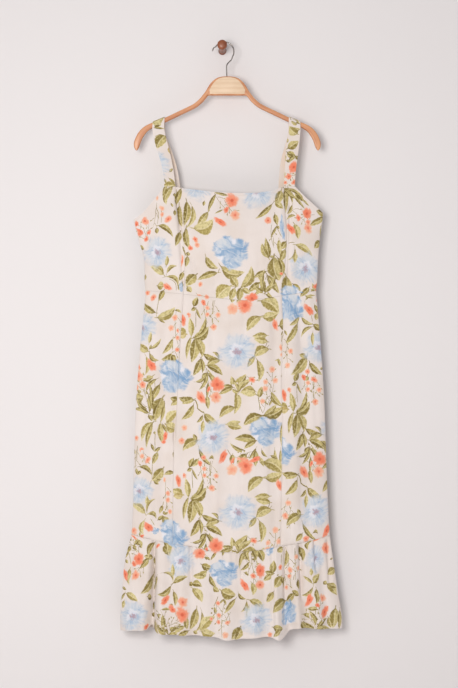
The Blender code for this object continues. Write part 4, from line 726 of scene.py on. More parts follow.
RUFFLE_PRINT = charted(
    stems=(
        (5, -1249, 4, -1305, 7, 0), (4, -1271, 10, -1286, 7, 0), (-9, -1236, -18, -1258, 7, 0),
        (4, -1283, -3, -1302, 7, 0), (63, -1160, 77, -1193, 7, 0), (163, -1128, 163, -1200, 7, 0),
        (133, -1143, 132, -1167, 7, 0), (152, -1200, 155, -1219, 7, 0), (208, -1253, 211, -1303, 7, 0),
        (215, -1270, 213, -1293, 7, 0), (185, -1282, 185, -1297, 7, 0), (161, -1188, 159, -1200, 7, 0),
        (-156, -1169, -155, -1208, 7, 0), (-210, -1126, -205, -1168, 7, 0),
    ),
    leaves=(
        (-205, -1110, -212, -1142, 69, 5, 7), (-210, -1139, -219, -1155, 33, 0, 10),
        (-203, -1119, -190, -1141, 53, 0, 7), (-194, -1113, -180, -1131, 90, -10, 9),
        (-218, -1158, -211, -1166, 45, 0, 6), (-207, -1177, -208, -1215, 65, 10, 4),
        (-157, -1151, -176, -1148, 69, 0, 5), (-164, -1152, -184, -1177, 69, 0, 8),
        (-153, -1118, -165, -1151, 77, 20, 8), (-154, -1152, -152, -1171, 57, 0, 10),
        (-146, -1191, -148, -1222, 61, 10, 7), (-156, -1188, -183, -1232, 94, -10, 7),
        (-152, -1208, -156, -1226, 41, 0, 10), (-167, -1238, -160, -1242, 82, 0, 10),
        (-225, -1220, -215, -1225, 41, 0, 8), (-218, -1231, -231, -1254, 29, 0, 8),
        (-216, -1233, -188, -1250, 94, -10, 2), (-156, -1252, -157, -1273, 49, 0, 10),
        (-160, -1279, -153, -1284, 49, 0, 10), (-152, -1288, -138, -1325, 90, 20, 8),
        (-127, -1114, -117, -1148, 122, 10, 7), (-133, -1184, -112, -1208, 45, -35, 5),
        (-114, -1213, -146, -1232, 69, -20, 7), (-136, -1266, -111, -1269, 33, -10, 6),
        (-146, -1277, -120, -1299, 69, -10, 7), (-43, -1101, -72, -1119, 61, 6, 7),
        (-35, -1099, -17, -1112, 49, 0, 7), (-59, -1118, -45, -1128, 45, 0, 6),
        (-46, -1165, -22, -1172, 90, 10, 10), (-34, -1179, -63, -1191, 90, -15, 1),
        (-39, -1191, -66, -1191, 77, 0, 5), (-73, -1206, -66, -1214, 57, 0, 9),
        (-68, -1210, -44, -1215, 86, -20, 8), (-67, -1218, -44, -1250, 114, -12, 2),
        (-111, -1208, -76, -1192, 73, -10, 5), (-28, -1190, -12, -1217, 61, 10, 9),
        (-20, -1215, -6, -1225, 69, 10, 6), (-3, -1222, 32, -1233, 143, 10, 6),
        (22, -1129, 42, -1100, 147, -15, 5), (18, -1115, 23, -1103, 61, 0, 8),
        (22, -1129, -2, -1131, 53, 5, 7), (30, -1134, 41, -1135, 69, 0, 5), (4, -1135, 0, -1146, 29, 0, 9),
        (-14, -1136, -26, -1156, 37, 0, 10), (-40, -1149, -26, -1156, 33, -10, 10),
        (30, -1241, 4, -1274, 61, 0, 6), (4, -1241, -7, -1253, 24, 0, 8), (4, -1241, 9, -1255, 29, 0, 9),
        (-18, -1258, -13, -1282, 33, 0, 6), (-23, -1261, -21, -1265, 24, 0, 10),
        (-24, -1271, -23, -1275, 24, 0, 10), (-109, -1225, -106, -1259, 65, -10, 6),
        (-111, -1259, -118, -1254, 41, 0, 5), (-57, -1263, -73, -1313, 102, -5, 6),
        (-46, -1268, -65, -1318, 53, -20, 4), (-78, -1284, -78, -1311, 69, 10, 7),
        (-82, -1302, -119, -1324, 73, 5, 6), (-75, -1313, -99, -1324, 61, 0, 9),
        (-48, -1310, -15, -1280, 122, -10, 0), (-48, -1310, -15, -1318, 114, 15, 2),
        (-65, -1315, -55, -1320, 49, 0, 6), (40, -1305, 21, -1332, 102, 0, 7),
        (50, -1101, 21, -1130, 122, -10, 3), (53, -1120, 29, -1138, 69, 0, 5),
        (52, -1134, 38, -1175, 53, 6, 6), (53, -1134, 53, -1156, 53, 0, 8),
        (63, -1157, 40, -1179, 45, -10, 8), (82, -1132, 92, -1160, 94, -10, 9),
        (64, -1138, 81, -1169, 53, 0, 9), (74, -1131, 77, -1153, 82, 0, 8),
        (49, -1183, 68, -1187, 45, 0, 6), (66, -1205, 68, -1234, 77, -15, 2),
        (116, -1185, 95, -1180, 69, -10, 6), (110, -1187, 92, -1202, 69, 0, 6),
        (114, -1184, 116, -1155, 86, 0, 4), (110, -1181, 109, -1163, 45, 0, 7),
        (136, -1128, 123, -1138, 82, 0, 6), (144, -1133, 139, -1174, 69, -15, 4),
        (124, -1187, 125, -1190, 33, 0, 10), (133, -1192, 116, -1217, 122, 0, 4),
        (132, -1193, 139, -1211, 69, 0, 7), (115, -1226, 99, -1251, 82, 0, 6),
        (141, -1193, 138, -1221, 37, 10, 9), (144, -1248, 113, -1275, 134, 15, 6),
        (161, -1230, 144, -1252, 82, 0, 9), (36, -1228, 55, -1241, 45, 25, 10),
        (60, -1243, 94, -1268, 90, -12, 4), (55, -1246, 41, -1271, 45, -20, 6),
        (60, -1257, 55, -1284, 57, 0, 1), (42, -1306, 27, -1334, 94, -10, 8),
        (114, -1305, 137, -1309, 90, 0, 9), (130, -1309, 114, -1326, 61, 0, 5),
        (169, -1200, 171, -1221, 53, 0, 10), (173, -1128, 174, -1146, 41, 0, 10),
        (166, -1227, 156, -1225, 49, 0, 8), (80, -1099, 82, -1115, 37, 0, 3),
        (132, -1106, 149, -1099, 45, 0, 6), (196, -1110, 192, -1134, 61, 0, 8),
        (174, -1128, 182, -1160, 98, -10, 9), (202, -1209, 181, -1191, 37, 5, 6),
        (204, -1209, 219, -1187, 86, -8, 4), (203, -1216, 178, -1236, 49, -20, 6),
        (210, -1220, 208, -1256, 65, -10, 7), (170, -1200, 172, -1222, 45, 0, 10),
        (158, -1225, 172, -1235, 69, 0, 8), (254, -1177, 237, -1191, 94, 0, 5),
        (228, -1206, 236, -1212, 53, 0, 8), (236, -1210, 260, -1239, 102, -10, 3),
        (242, -1212, 258, -1220, 69, 0, 7), (191, -1266, 221, -1263, 53, 0, 6),
        (181, -1277, 211, -1296, 57, -10, 7), (226, -1286, 208, -1304, 41, 0, 7),
        (177, -1294, 185, -1311, 73, 0, 9), (186, -1307, 198, -1303, 53, 0, 8),
        (218, -1303, 248, -1314, 82, 10, 8), (239, -1286, 246, -1311, 73, 0, 4),
        (255, -1265, 249, -1312, 122, 0, 5), (265, -1270, 263, -1316, 61, 0, 7),
        (272, -1298, 272, -1306, 24, 0, 10), (213, -1101, 229, -1105, 61, 0, 8),
        (246, -1154, 247, -1158, 45, 0, 10), (-205, -1126, -217, -1110, 56, -12, 9),
        (-205, -1126, -192, -1108, 56, 12, 9), (-205, -1126, -219, -1140, 56, -12, 9),
        (-205, -1126, -188, -1129, 56, 12, 9), (-120, -1322, -148, -1293, 66, -12, 8),
        (-120, -1322, -141, -1276, 66, 12, 8), (-120, -1322, -92, -1300, 66, -12, 8),
        (-120, -1322, -100, -1318, 66, 12, 8), (-120, -1322, -131, -1271, 66, -12, 8),
        (58, -1123, 45, -1157, 51, -12, 9), (58, -1123, 63, -1161, 51, 12, 9),
        (58, -1123, 78, -1157, 51, -12, 9), (211, -1310, 179, -1290, 61, -12, 9),
        (211, -1310, 194, -1269, 61, 12, 9), (211, -1310, 238, -1287, 61, -12, 9),
        (211, -1310, 227, -1304, 61, 12, 9),
    ),
    over=(
        (-220, -1249, -224, -1268, 49, 0, 0), (-110, -1192, -111, -1163, 49, 0, 0),
        (199, -1191, 199, -1174, 45, 0, 0),
    ),
    peonies=(
        (-92, -1157, 45, -30, 100, 0), (77, -1288, 47, 0, 100, 0), (-198, -1283, 47, 20, 100, 0),
        (209, -1154, 40, -60, 85, 0), (5, -1186, 39, 0, 100, 10), (150, -1276, 35, -60, 90, 10),
        (-153, -1260, 12, -90, 50, 10), (-103, -1109, 35, 40, 80, 10), (106, -1134, 13, 0, 100, 6),
    ),
    blossoms=(
        (-187, -1155, 21, -60, 75, 9), (-198, -1166, 9, 0, 100, 9), (-193, -1191, 16, -60, 70, 5),
        (-218, -1191, 19, 65, 45, 9), (-145, -1125, 10, -50, 60, 7), (-198, -1107, 8, 0, 100, 7),
        (-180, -1104, 7, 0, 100, 5), (-127, -1245, 19, -48, 50, 9), (-170, -1306, 13, -40, 50, 9),
        (-114, -1262, 9, 0, 100, 8), (-13, -1124, 20, 0, 100, 8), (-50, -1140, 18, -60, 100, 8),
        (-34, -1129, 8, -90, 60, 10), (-88, -1249, 16, 0, 100, 5), (-89, -1277, 22, 0, 100, 8),
        (-111, -1267, 10, 0, 100, 9), (-9, -1251, 7, 0, 100, 6), (-7, -1278, 8, 0, 100, 5),
        (-8, -1293, 7, 0, 100, 6), (12, -1293, 9, -20, 70, 4), (7, -1321, 10, 0, 100, 2),
        (-24, -1286, 6, 0, 100, 4), (65, -1117, 11, 0, 80, 6), (96, -1120, 10, 0, 100, 4),
        (114, -1117, 9, -20, 80, 4), (85, -1179, 21, -80, 70, 10), (69, -1190, 9, 0, 100, 7),
        (85, -1210, 14, 0, 100, 6), (50, -1211, 20, 58, 50, 10), (130, -1172, 9, -80, 80, 7),
        (152, -1178, 9, 0, 100, 3), (151, -1192, 8, 0, 100, 4), (145, -1218, 7, 0, 100, 4),
        (107, -1322, 8, 0, 100, 5), (167, -1149, 7, 0, 100, 2), (171, -1174, 7, 0, 100, 3),
        (213, -1112, 11, -10, 50, 6), (234, -1132, 20, 65, 65, 8), (166, -1149, 8, 0, 100, 2),
        (171, -1174, 7, 0, 100, 2), (196, -1246, 21, -58, 45, 10), (226, -1242, 13, -80, 80, 4),
        (230, -1274, 20, -75, 60, 9), (213, -1257, 9, 30, 60, 9),
    ),
    sprays=(
        (-177, -1152, -210, -1118, 5, 18), (-173, -1163, -193, -1191, 4, 14),
        (-122, -1321, -137, -1268, 5, 18), (-118, -1322, -98, -1275, 5, 16),
        (-122, -1303, -86, -1283, 4, 13), (54, -1150, 82, -1212, 5, 18), (66, -1142, 74, -1189, 4, 16),
        (149, -1143, 156, -1194, 4, 13), (141, -1178, 147, -1221, 3, 12), (164, -1135, 170, -1186, 3, 11),
        (209, -1308, 184, -1276, 4, 15), (209, -1308, 227, -1273, 4, 14), (211, -1277, 220, -1242, 3, 11),
        (-12, -1247, -8, -1298, 4, 13), (6, -1247, 0, -1329, 5, 14), (19, -1271, 7, -1294, 2, 10),
        (-63, -1123, -32, -1146, 4, 13),
    ),
)
STRAPS_PRINT = charted(
    stems=(),
    leaves=(
        (-153, -172, -137, -181, 89, 0, 10), (-155, -184, -129, -188, 27, 0, 10),
        (-128, -203, -152, -205, 45, 0, 8), (-127, -203, -147, -233, 125, 10, 7),
        (-119, -285, -111, -277, 36, 0, 8), (-120, -299, -105, -311, 29, 0, 10),
        (-130, -300, -125, -313, 25, 0, 10), (-104, -314, -135, -326, 107, 0, 3),
        (-121, -230, -115, -246, 46, 0, -6), (155, -164, 179, -173, 46, 0, 10),
        (169, -173, 154, -175, 74, 0, 6), (151, -194, 177, -187, 74, 0, 7),
        (145, -209, 148, -219, 41, 0, 10), (147, -232, 173, -215, 111, 0, 6),
        (146, -240, 166, -251, 74, 0, 10), (140, -240, 131, -279, 84, 0, 6),
        (144, -259, 155, -262, 37, 0, 10), (130, -284, 140, -301, 93, 0, 7),
        (139, -318, 148, -326, 45, 0, 10), (165, -249, 144, -244, 53, -12, 9),
        (165, -249, 150, -263, 53, 12, 9), (165, -249, 173, -261, 53, -12, 9),
        (170, -200, 150, -182, 104, -10, 4),
    ),
    over=(),
    peonies=(
        (-155, -269, 49, 20, 100, 0),
    ),
    blossoms=(
        (157, -275, 15, -70, 70, 10), (145, -296, 6, 0, 100, 5), (158, -308, 7, -70, 60, 3),
        (161, -274, 18, -70, 80, 10), (150, -295, 9, 0, 100, 8), (161, -308, 9, -70, 70, 7),
        (142, -309, 6, 0, 100, 6),
    ),
    sprays=(
        (145, -288, 161, -298, 4, 10), (140, -304, 147, -324, 3, 9),
    ),
)

# How far down the print repeats, and how far from the middle panel's print the right one's is
REPEAT = 0.3600
RIGHT_ACROSS = 0.239
RIGHT_DOWN = 0.168

# The heights between which the skirt's chart lies
CHART_LOW = -0.945
CHART_HIGH = -0.555

# How far the stitches are from the hem and from the top edge
HEM_WIDTH = 0.012
EDGE_WIDTH = 0.005

# The wall's face, how far the wall and the floor reach, and the large soft light
WALL_FACE = 0.0005
WALL_TOP = 2.4
STAGE_REACH = 4.0
FLOOR_FRONT = -5.0
FLOOR_BACK = 3.0
WINDOW_SIZE = 0.75
WINDOW_PLACE = (-0.50, -2.5, -0.42)
WINDOW_AIM = (0.02, -0.05, -0.72)


def linear(red, green, blue):
    """A colour given as it looks on a screen, from 0 to 255, as Blender's own values."""
    values = []
    for part in (red, green, blue):
        share = part / 255
        values.append(share / 12.92 if share <= 0.04045 else ((share + 0.055) / 1.055) ** 2.4)
    return (*values, 1.0)


def between(start, end, share):
    """The value a share of the way from start to end."""
    return start + (end - start) * share


def smooth_share(share):
    """A share between 0 and 1, eased at both ends."""
    share = np.clip(share, 0.0, 1.0)
    return share * share * (3.0 - 2.0 * share)


def smooth_value(places, values, place):
    """The value at a place, on a smooth curve through the rows of a table with rising places."""
    places = np.asarray(places, float)
    values = np.asarray(values, float)
    low = np.maximum(np.arange(len(places)) - 1, 0)
    high = np.minimum(np.arange(len(places)) + 1, len(places) - 1)
    slopes = (values[high] - values[low]) / (places[high] - places[low])
    place = np.clip(place, places[0], places[-1])
    row = np.clip(np.searchsorted(places, place, side="right") - 1, 0, len(places) - 2)
    span = places[row + 1] - places[row]
    share = (place - places[row]) / span
    square = share * share
    cube = square * share
    return (
        (2 * cube - 3 * square + 1) * values[row]
        + (cube - 2 * square + share) * span * slopes[row]
        + (3 * square - 2 * cube) * values[row + 1]
        + (cube - square) * span * slopes[row + 1]
    )


def straight_value(places, values, place):
    """The value at a place, on straight lines through the rows of a table with rising places."""
    return np.interp(place, places, values)


def column(table, name):
    """One column of a table."""
    return [getattr(row, name) for row in table]


OUTLINE_UP = tuple(reversed(OUTLINE))
OUTLINE_HEIGHTS = column(OUTLINE_UP, "height")
OUTLINE_COLUMNS = {name: column(OUTLINE_UP, name) for name in ("left", "right", "front", "back")}
SEAMS_UP = tuple(reversed(FRONT_SEAMS))
SEAM_HEIGHTS = column(SEAMS_UP, "height")
SEAM_COLUMNS = {name: column(SEAMS_UP, name) for name in ("left", "right")}


def outline_at(height, name):
    """The silhouette's value at a height, by its column's name."""
    return smooth_value(OUTLINE_HEIGHTS, OUTLINE_COLUMNS[name], height)


def middle_and_half(height):
    """The middle and the half width of the dress at a height."""
    left = outline_at(height, "left")
    right = outline_at(height, "right")
    return (left + right) / 2, (right - left) / 2


def share_across(across, height):
    """A place across, as -1 at the left side seam to 1 at the right one."""
    middle, half = middle_and_half(height)
    return np.clip((across - middle) / half, -1.0, 1.0)


class EdgeLine:
    """An edge that runs across the front or the back, read by the cosine of the ring's angle."""

    def __init__(self, table, value=straight_value):
        self.shares = [float(share_across(row.across, row.height)) for row in table]
        self.shares[0] = -1.0
        self.shares[-1] = 1.0
        self.heights = column(table, "height")
        self.value = value

    def at(self, angle):
        return self.value(self.shares, self.heights, np.cos(angle))


def stacked(x, y, z):
    """Coordinates as points."""
    return np.stack(np.broadcast_arrays(x, y, z), axis=-1)


def ring_point(angle, height):
    """A point of the dress without its folds."""
    middle, half = middle_and_half(height)
    side = np.sin(angle)
    depth = np.where(side >= 0, outline_at(height, "front"), outline_at(height, "back"))
    return stacked(middle + half * np.cos(angle), HANGING_PLANE - depth * side, height)


def rise_of_folds(folds, across, height, end):
    """How far a table of folds pushes the cloth out."""
    rise = np.zeros(np.broadcast(across, height).shape)
    for fold in folds:
        share = (fold.high_height - height) / (fold.high_height - fold.low_height)
        centre = between(fold.high_across, fold.low_across, share)
        ends = smooth_share((fold.high_height - height) / end)
        ends = ends * smooth_share((height - fold.low_height) / end)
        rise = rise + fold.rise * ends * np.exp(-(((across - centre) / fold.width) ** 2))
    return rise


def fold_rise(angle, across, height):
    """How far the soft folds and the small creases push the cloth out at a place on the ring."""
    side = np.sin(angle)
    front = rise_of_folds(FRONT_FOLDS, across, height, FOLD_END)
    front = front + rise_of_folds(FRONT_CREASES, across, height, CREASE_END)
    back = rise_of_folds(BACK_FOLDS, across, height, FOLD_END)
    back = back + rise_of_folds(BACK_CREASES, across, height, CREASE_END)
    return np.where(side >= 0, front, back) * smooth_share(np.abs(side) / SIDE_FADE)


def rise_of_waves(waves, across, down):
    """How far a table of waves pushes the ruffle's cloth out."""
    growth = between(GATHER_AT_SEAM, 1.0, np.maximum(0.0, down) ** WAVE_GROWTH)
    rise = np.zeros(np.broadcast(across, down).shape)
    for wave in waves:
        centre = between(wave.seam_across, wave.hem_across, down)
        width = between(WAVE_WIDTH_AT_SEAM, 1.0, down) * wave.width
        rise = rise + wave.rise * growth * np.exp(-(((across - centre) / width) ** 2))
    return rise


def wave_rise(angle, across, down):
    """How far the ruffle's waves and its small gathers push the cloth out, where down is 0 at its
    seam and 1 at its hem."""
    side = np.sin(angle)
    waves = np.where(
        side >= 0, rise_of_waves(FRONT_WAVES, across, down), rise_of_waves(BACK_WAVES, across, down)
    )
    run = across
    for sway, rate, start in GATHER_SWAYS:
        run = run + sway * np.sin(across * rate + start)
    small = sum(size * np.sin(2 * np.pi * run / spacing + start) for size, spacing, start in GATHER_WAVES)
    rate, start = GATHER_DEPTH_TURN
    depth = between(GATHER_LEAST, 1.0, 0.5 + 0.5 * np.sin(across * rate + start))
    fade = np.exp(-np.maximum(0.0, down) / GATHER_LENGTH) * smooth_share(down / GATHER_START)
    gathers = GATHER_RISE * depth * small * fade
    return (waves + gathers) * smooth_share(np.abs(side) / SIDE_FADE)


def outward(shape, angle, height):
    """The outward direction of a surface, which shape gives as points at angles and heights."""
    round_it = shape(angle + ANGLE_STEP, height) - shape(angle - ANGLE_STEP, height)
    up_it = shape(angle, height + HEIGHT_STEP) - shape(angle, height - HEIGHT_STEP)
    normal = np.cross(up_it, round_it)
    return normal / np.linalg.norm(normal, axis=-1, keepdims=True)


def folded_point(angle, height):
    """A point of the bodice or the skirt, with its folds and creases."""
    point = ring_point(angle, height)
    rise = fold_rise(angle, point[..., 0], height)
    return point + outward(ring_point, angle, height) * rise[..., None]


def ruffle_shape(seam, hem):
    """The surface of a ruffle that hangs from one edge down to another."""

    def shape(angle, height):
        down = (seam.at(angle) - height) / (seam.at(angle) - hem.at(angle))
        point = ring_point(angle, height)
        rise = wave_rise(angle, point[..., 0], down)
        if seam is FRONT_RUFFLE_EDGE:
            rise = rise + rise_of_folds(RUFFLE_CREASES, point[..., 0], height, CREASE_END)
        return point + outward(ring_point, angle, height) * rise[..., None]

    return shape


def seam_angle(height, name):
    """The ring's angle where a long front seam runs."""
    across = smooth_value(SEAM_HEIGHTS, SEAM_COLUMNS[name], height)
    return np.arccos(share_across(across, height))


def side_seam(angle):
    """A side seam, at the same angle of the ring all the way down."""
    return lambda height: np.full(np.shape(height), angle)


def left_seam(height):
    """The ring's angle on the left long seam."""
    return seam_angle(height, "left")


def right_seam(height):
    """The ring's angle on the right long seam."""
    return seam_angle(height, "right")


LEFT_SIDE = side_seam(np.pi)
RIGHT_SIDE = side_seam(0.0)
BACK_LEFT_SIDE = side_seam(-np.pi)


class Tier:
    """One level of the dress, round its front or its back: the bodice, the skirt or the ruffle.

    It knows where its cloth is, and how far each place on it is from the middle of its level
    when the cloth lies flat.
    """

    def __init__(self, side, low, high, shape):
        self.side = side
        self.low = low
        self.high = high
        self.shape = shape
        if side > 0:
            self.angles = np.linspace(np.pi, 0.0, FLAT_COLUMNS)
        else:
            self.angles = np.linspace(0.0, -np.pi, FLAT_COLUMNS)
        self.ups = np.linspace(0.0, 1.0, FLAT_ROWS)
        angle, up = np.meshgrid(self.angles, self.ups)
        points = self.point(angle, up)
        steps = np.linalg.norm(np.diff(points, axis=1), axis=-1)
        lengths = np.concatenate([np.zeros((FLAT_ROWS, 1)), np.cumsum(steps, axis=1)], axis=1)
        self.across = lengths - lengths[:, FLAT_COLUMNS // 2 : FLAT_COLUMNS // 2 + 1]

    def height(self, angle, up):
        return between(self.low.at(angle), self.high.at(angle), up)

    def point(self, angle, up):
        return self.shape(angle, self.height(angle, up))

    def flat(self, angle, up):
        """A place's distance from the middle of its level, and its distance down, in metres."""
        place = (angle - self.angles[0]) / (self.angles[-1] - self.angles[0]) * (FLAT_COLUMNS - 1)
        row = np.clip(up, 0.0, 1.0) * (FLAT_ROWS - 1)
        left = np.clip(place.astype(int), 0, FLAT_COLUMNS - 2)
        below = np.clip(row.astype(int), 0, FLAT_ROWS - 2)
        over = place - left
        above = row - below
        low = between(self.across[below, left], self.across[below, left + 1], over)
        high = between(self.across[below + 1, left], self.across[below + 1, left + 1], over)
        return stacked(between(low, high, above), -self.height(angle, up), 0.0)[..., :2]

    def flat_of(self, across, height):
        """The flat place that shows at a place across and a height, seen from its own side."""
        middle, half = middle_and_half(height)
        share = (across - middle) / half
        angle = self.side * math.acos(min(1.0, max(-1.0, share)))
        low = float(self.low.at(angle))
        high = float(self.high.at(angle))
        up = (height - low) / (high - low)
        flat = self.flat(np.array([angle]), np.array([up]))[0]
        beyond = (share - min(1.0, max(-1.0, share))) * half
        return float(flat[0]) + self.side * float(beyond), -height


FRONT_TOP_EDGE = EdgeLine(FRONT_TOP)
BACK_TOP_EDGE = EdgeLine(BACK_TOP)
FRONT_WAIST_EDGE = EdgeLine(FRONT_WAIST, smooth_value)
BACK_WAIST_EDGE = EdgeLine(BACK_WAIST, smooth_value)
FRONT_RUFFLE_EDGE = EdgeLine(FRONT_RUFFLE_SEAM, smooth_value)
BACK_RUFFLE_EDGE = EdgeLine(BACK_RUFFLE_SEAM, smooth_value)
FRONT_HEM_EDGE = EdgeLine(FRONT_HEM, smooth_value)
BACK_HEM_EDGE = EdgeLine(BACK_HEM, smooth_value)


FRONT = 1
BACK = -1
BODICE_FRONT = Tier(FRONT, FRONT_WAIST_EDGE, FRONT_TOP_EDGE, folded_point)
BODICE_BACK = Tier(BACK, BACK_WAIST_EDGE, BACK_TOP_EDGE, folded_point)
SKIRT_FRONT = Tier(FRONT, FRONT_RUFFLE_EDGE, FRONT_WAIST_EDGE, folded_point)
SKIRT_BACK = Tier(BACK, BACK_RUFFLE_EDGE, BACK_WAIST_EDGE, folded_point)
RUFFLE_FRONT = Tier(
    FRONT, FRONT_HEM_EDGE, FRONT_RUFFLE_EDGE, ruffle_shape(FRONT_RUFFLE_EDGE, FRONT_HEM_EDGE)
)
RUFFLE_BACK = Tier(
    BACK, BACK_HEM_EDGE, BACK_RUFFLE_EDGE, ruffle_shape(BACK_RUFFLE_EDGE, BACK_HEM_EDGE)
)


class Slots:
    """The motifs that lie on each face, in the order in which they are printed."""

    def __init__(self, faces, count):
        self.count = count
        self.values = np.tile(np.array(FAR), (count, faces, 4, 1))
        self.filled = np.zeros(faces, int)

    def add(self, chosen, values):
        over = chosen[self.filled[chosen] >= self.count]
        self.values[:-1, over] = self.values[1:, over].copy()
        self.filled[over] -= 1
        self.values[self.filled[chosen], chosen] = values
        self.filled[chosen] += 1


def add_leaf(slots, corners, base, tip, leaf):
    """Gives each face near a leaf its place on it: along, from 0 at the stalk to 1 at the tip,
    beside, as 1 at the leaf's widest, and the leaf's tone."""
    base = np.array(base)
    step = np.array(tip) - base
    length = max(float(np.linalg.norm(step)), SHORTEST_LEAF)
    ahead = step / length
    along = (corners - base) @ ahead / length
    beside = (corners - base) @ np.array((-ahead[1], ahead[0]))
    beside = beside - leaf.bend * length * 4 * along * (1 - along)
    is_stem = leaf.tone > STEM_ABOVE
    hump = np.maximum(0.0, 4 * along * (1 - along)) ** (STEM_POWER if is_stem else LEAF_POWER)
    taper = 1.0 if is_stem else LEAF_BASE - LEAF_TAPER * along
    near = np.abs(beside) < leaf.half_width * hump * taper + PRINT_MARGIN
    near &= (along > -PRINT_MARGIN / length - STALK_REACH) & (along < 1 + PRINT_MARGIN / length)
    chosen = np.nonzero(near.any(axis=1))[0]
    values = stacked(along[chosen], beside[chosen] / leaf.half_width, leaf.tone)
    slots.add(chosen, values)


def add_flower(slots, corners, middle, flower):
    """Gives each face near a flower its place on it, as 1 at the tips of the petals, and the
    flower's tone."""
    turn = math.radians(flower.turn)
    offset = corners - np.array(middle)
    x = (offset[..., 0] * math.cos(turn) + offset[..., 1] * math.sin(turn)) / flower.radius
    y = (offset[..., 1] * math.cos(turn) - offset[..., 0] * math.sin(turn)) / flower.radius
    y = y / flower.narrow
    near = np.hypot(x, y) < 1.0 + PRINT_MARGIN / (flower.radius * flower.narrow)
    chosen = np.nonzero(near.any(axis=1))[0]
    slots.add(chosen, stacked(x[chosen], y[chosen], flower.tone))


Prints = namedtuple("Prints", "leaves over peonies blossoms shift")


def printed_faces(corners, prints, flat_of):
    """The motifs on each face of a piece, from its corners' flat places. flat_of turns a
    place that shows into a flat one."""
    count = len(corners)
    low = corners.min(axis=(0, 1)) - MOTIF_REACH
    high = corners.max(axis=(0, 1)) + MOTIF_REACH

    def is_near(place):
        return bool(np.all(low < place) and np.all(place < high))

    leaf_slots = Slots(count, LEAF_SLOTS)
    over_slots = Slots(count, 1)
    peony_slots = Slots(count, PEONY_SLOTS)
    blossom_slots = Slots(count, BLOSSOM_SLOTS)
    for chart in prints:
        for leaves, slots in ((chart.leaves, leaf_slots), (chart.over, over_slots)):
            for leaf in leaves:
                base = flat_of(leaf.base_across, leaf.base_height, chart.shift)
                tip = flat_of(leaf.tip_across, leaf.tip_height, chart.shift)
                if is_near(base):
                    add_leaf(slots, corners, base, tip, leaf)
        for flowers, slots in ((chart.peonies, peony_slots), (chart.blossoms, blossom_slots)):
            for flower in flowers:
                middle = flat_of(flower.across, flower.height, chart.shift)
                if is_near(middle):
                    add_flower(slots, corners, middle, flower)
    made = {}
    for name, slots in (
        ("leaf", leaf_slots),
        ("over_leaf", over_slots),
        ("peony", peony_slots),
        ("blossom", blossom_slots),
    ):
        for index in range(slots.count):
            made[f"{name}_{index + 1}"] = slots.values[index]
    return made


def mesh_object(name, points, faces, materials, slots=None):
    """A new object in the scene, smoothly shaded, with its materials."""
    mesh = bpy.data.meshes.new(name)
    mesh.from_pydata(points, [], faces)
    mesh.update()
    for made in materials:
        mesh.materials.append(made)
    if slots is not None:
        mesh.polygons.foreach_set("material_index", np.asarray(slots, np.int32))
    mesh.polygons.foreach_set("use_smooth", np.ones(len(mesh.polygons), bool))
    piece = bpy.data.objects.new(name, mesh)
    bpy.context.scene.collection.objects.link(piece)
    return piece


def sharpen(piece, degrees):
    """Marks the edges that turn by more than some degrees as sharp."""
    piece.data.set_sharp_from_angle(angle=math.radians(degrees))


def shell(name, outer, inner, flat, prints, flat_of):
    """A thin shell between two grids of points, closed along its four edges. The outer faces
    carry the print, and flat holds the grid's places on the flat cloth."""
    rows, columns = outer.shape[:2]
    count = rows * columns
    points = np.concatenate([outer.reshape(-1, 3), inner.reshape(-1, 3)])
    index = np.arange(count).reshape(rows, columns)
    quads = np.stack(
        [index[:-1, :-1], index[:-1, 1:], index[1:, 1:], index[1:, :-1]], axis=-1
    ).reshape(-1, 4)
    rim = np.concatenate(
        [index[0, :], index[1:, -1], index[-1, -2::-1], index[-2:0:-1, 0]]
    )
    after = np.roll(rim, -1)
    edge = np.stack([rim + count, after + count, after, rim], axis=-1)
    faces = np.concatenate([quads, quads[:, ::-1] + count, edge])
    slots = np.zeros(len(faces), np.int32)
    slots[len(quads) : 2 * len(quads)] = 1
    materials = (finish("printed chiffon"), finish("lining"))
    piece = mesh_object(name, points.tolist(), faces.tolist(), materials, slots)
    places = flat.reshape(-1, 2)
    places = np.concatenate([places, places])
    corners = places[faces]
    layer = piece.data.uv_layers.new(name="cloth_flat")
    layer.data.foreach_set("uv", (corners * (1.0, -1.0)).ravel())
    made = printed_faces(corners[: len(quads)], prints, flat_of)
    for attribute, values in made.items():
        full = np.tile(np.array(FAR), (len(faces), 4, 1))
        full[: len(quads)] = values
        data = piece.data.attributes.new(attribute, "FLOAT_VECTOR", "CORNER")
        data.data.foreach_set("vector", full.ravel())
    sharpen(piece, SHARP_EDGE)
    return piece


def close_steps(length, count):
    """Distances along an edge, closer together near its two ends, where the seams are."""
    near = np.array(SEAM_STEPS)
    middle = np.linspace(near[-1], length - near[-1], count + 1)
    return np.concatenate([near[:-1], middle, length - near[-2::-1]])


def edge_distances(grid, axis):
    """How far each point of a grid is from the grid's two edges, along one direction."""
    steps = np.linalg.norm(np.diff(grid, axis=axis), axis=-1)
    start = np.zeros_like(np.take(steps, [0], axis=axis))
    lengths = np.concatenate([start, np.cumsum(steps, axis=axis)], axis=axis)
    total = np.take(lengths, [-1], axis=axis)
    return lengths, total - lengths


def pulled_in(grid, sides):
    """Moves the edges of a grid of points half a seam gap inwards, on the named sides."""

    def towards(points, neighbours):
        step = neighbours - points
        return points + step / np.linalg.norm(step, axis=-1, keepdims=True) * SEAM_GAP / 2

    grid = grid.copy()
    if "low" in sides:
        grid[0] = towards(grid[0], grid[1])
    if "high" in sides:
        grid[-1] = towards(grid[-1], grid[-2])
    if "start" in sides:
        grid[:, 0] = towards(grid[:, 0], grid[:, 1])
    if "end" in sides:
        grid[:, -1] = towards(grid[:, -1], grid[:, -2])
    return grid


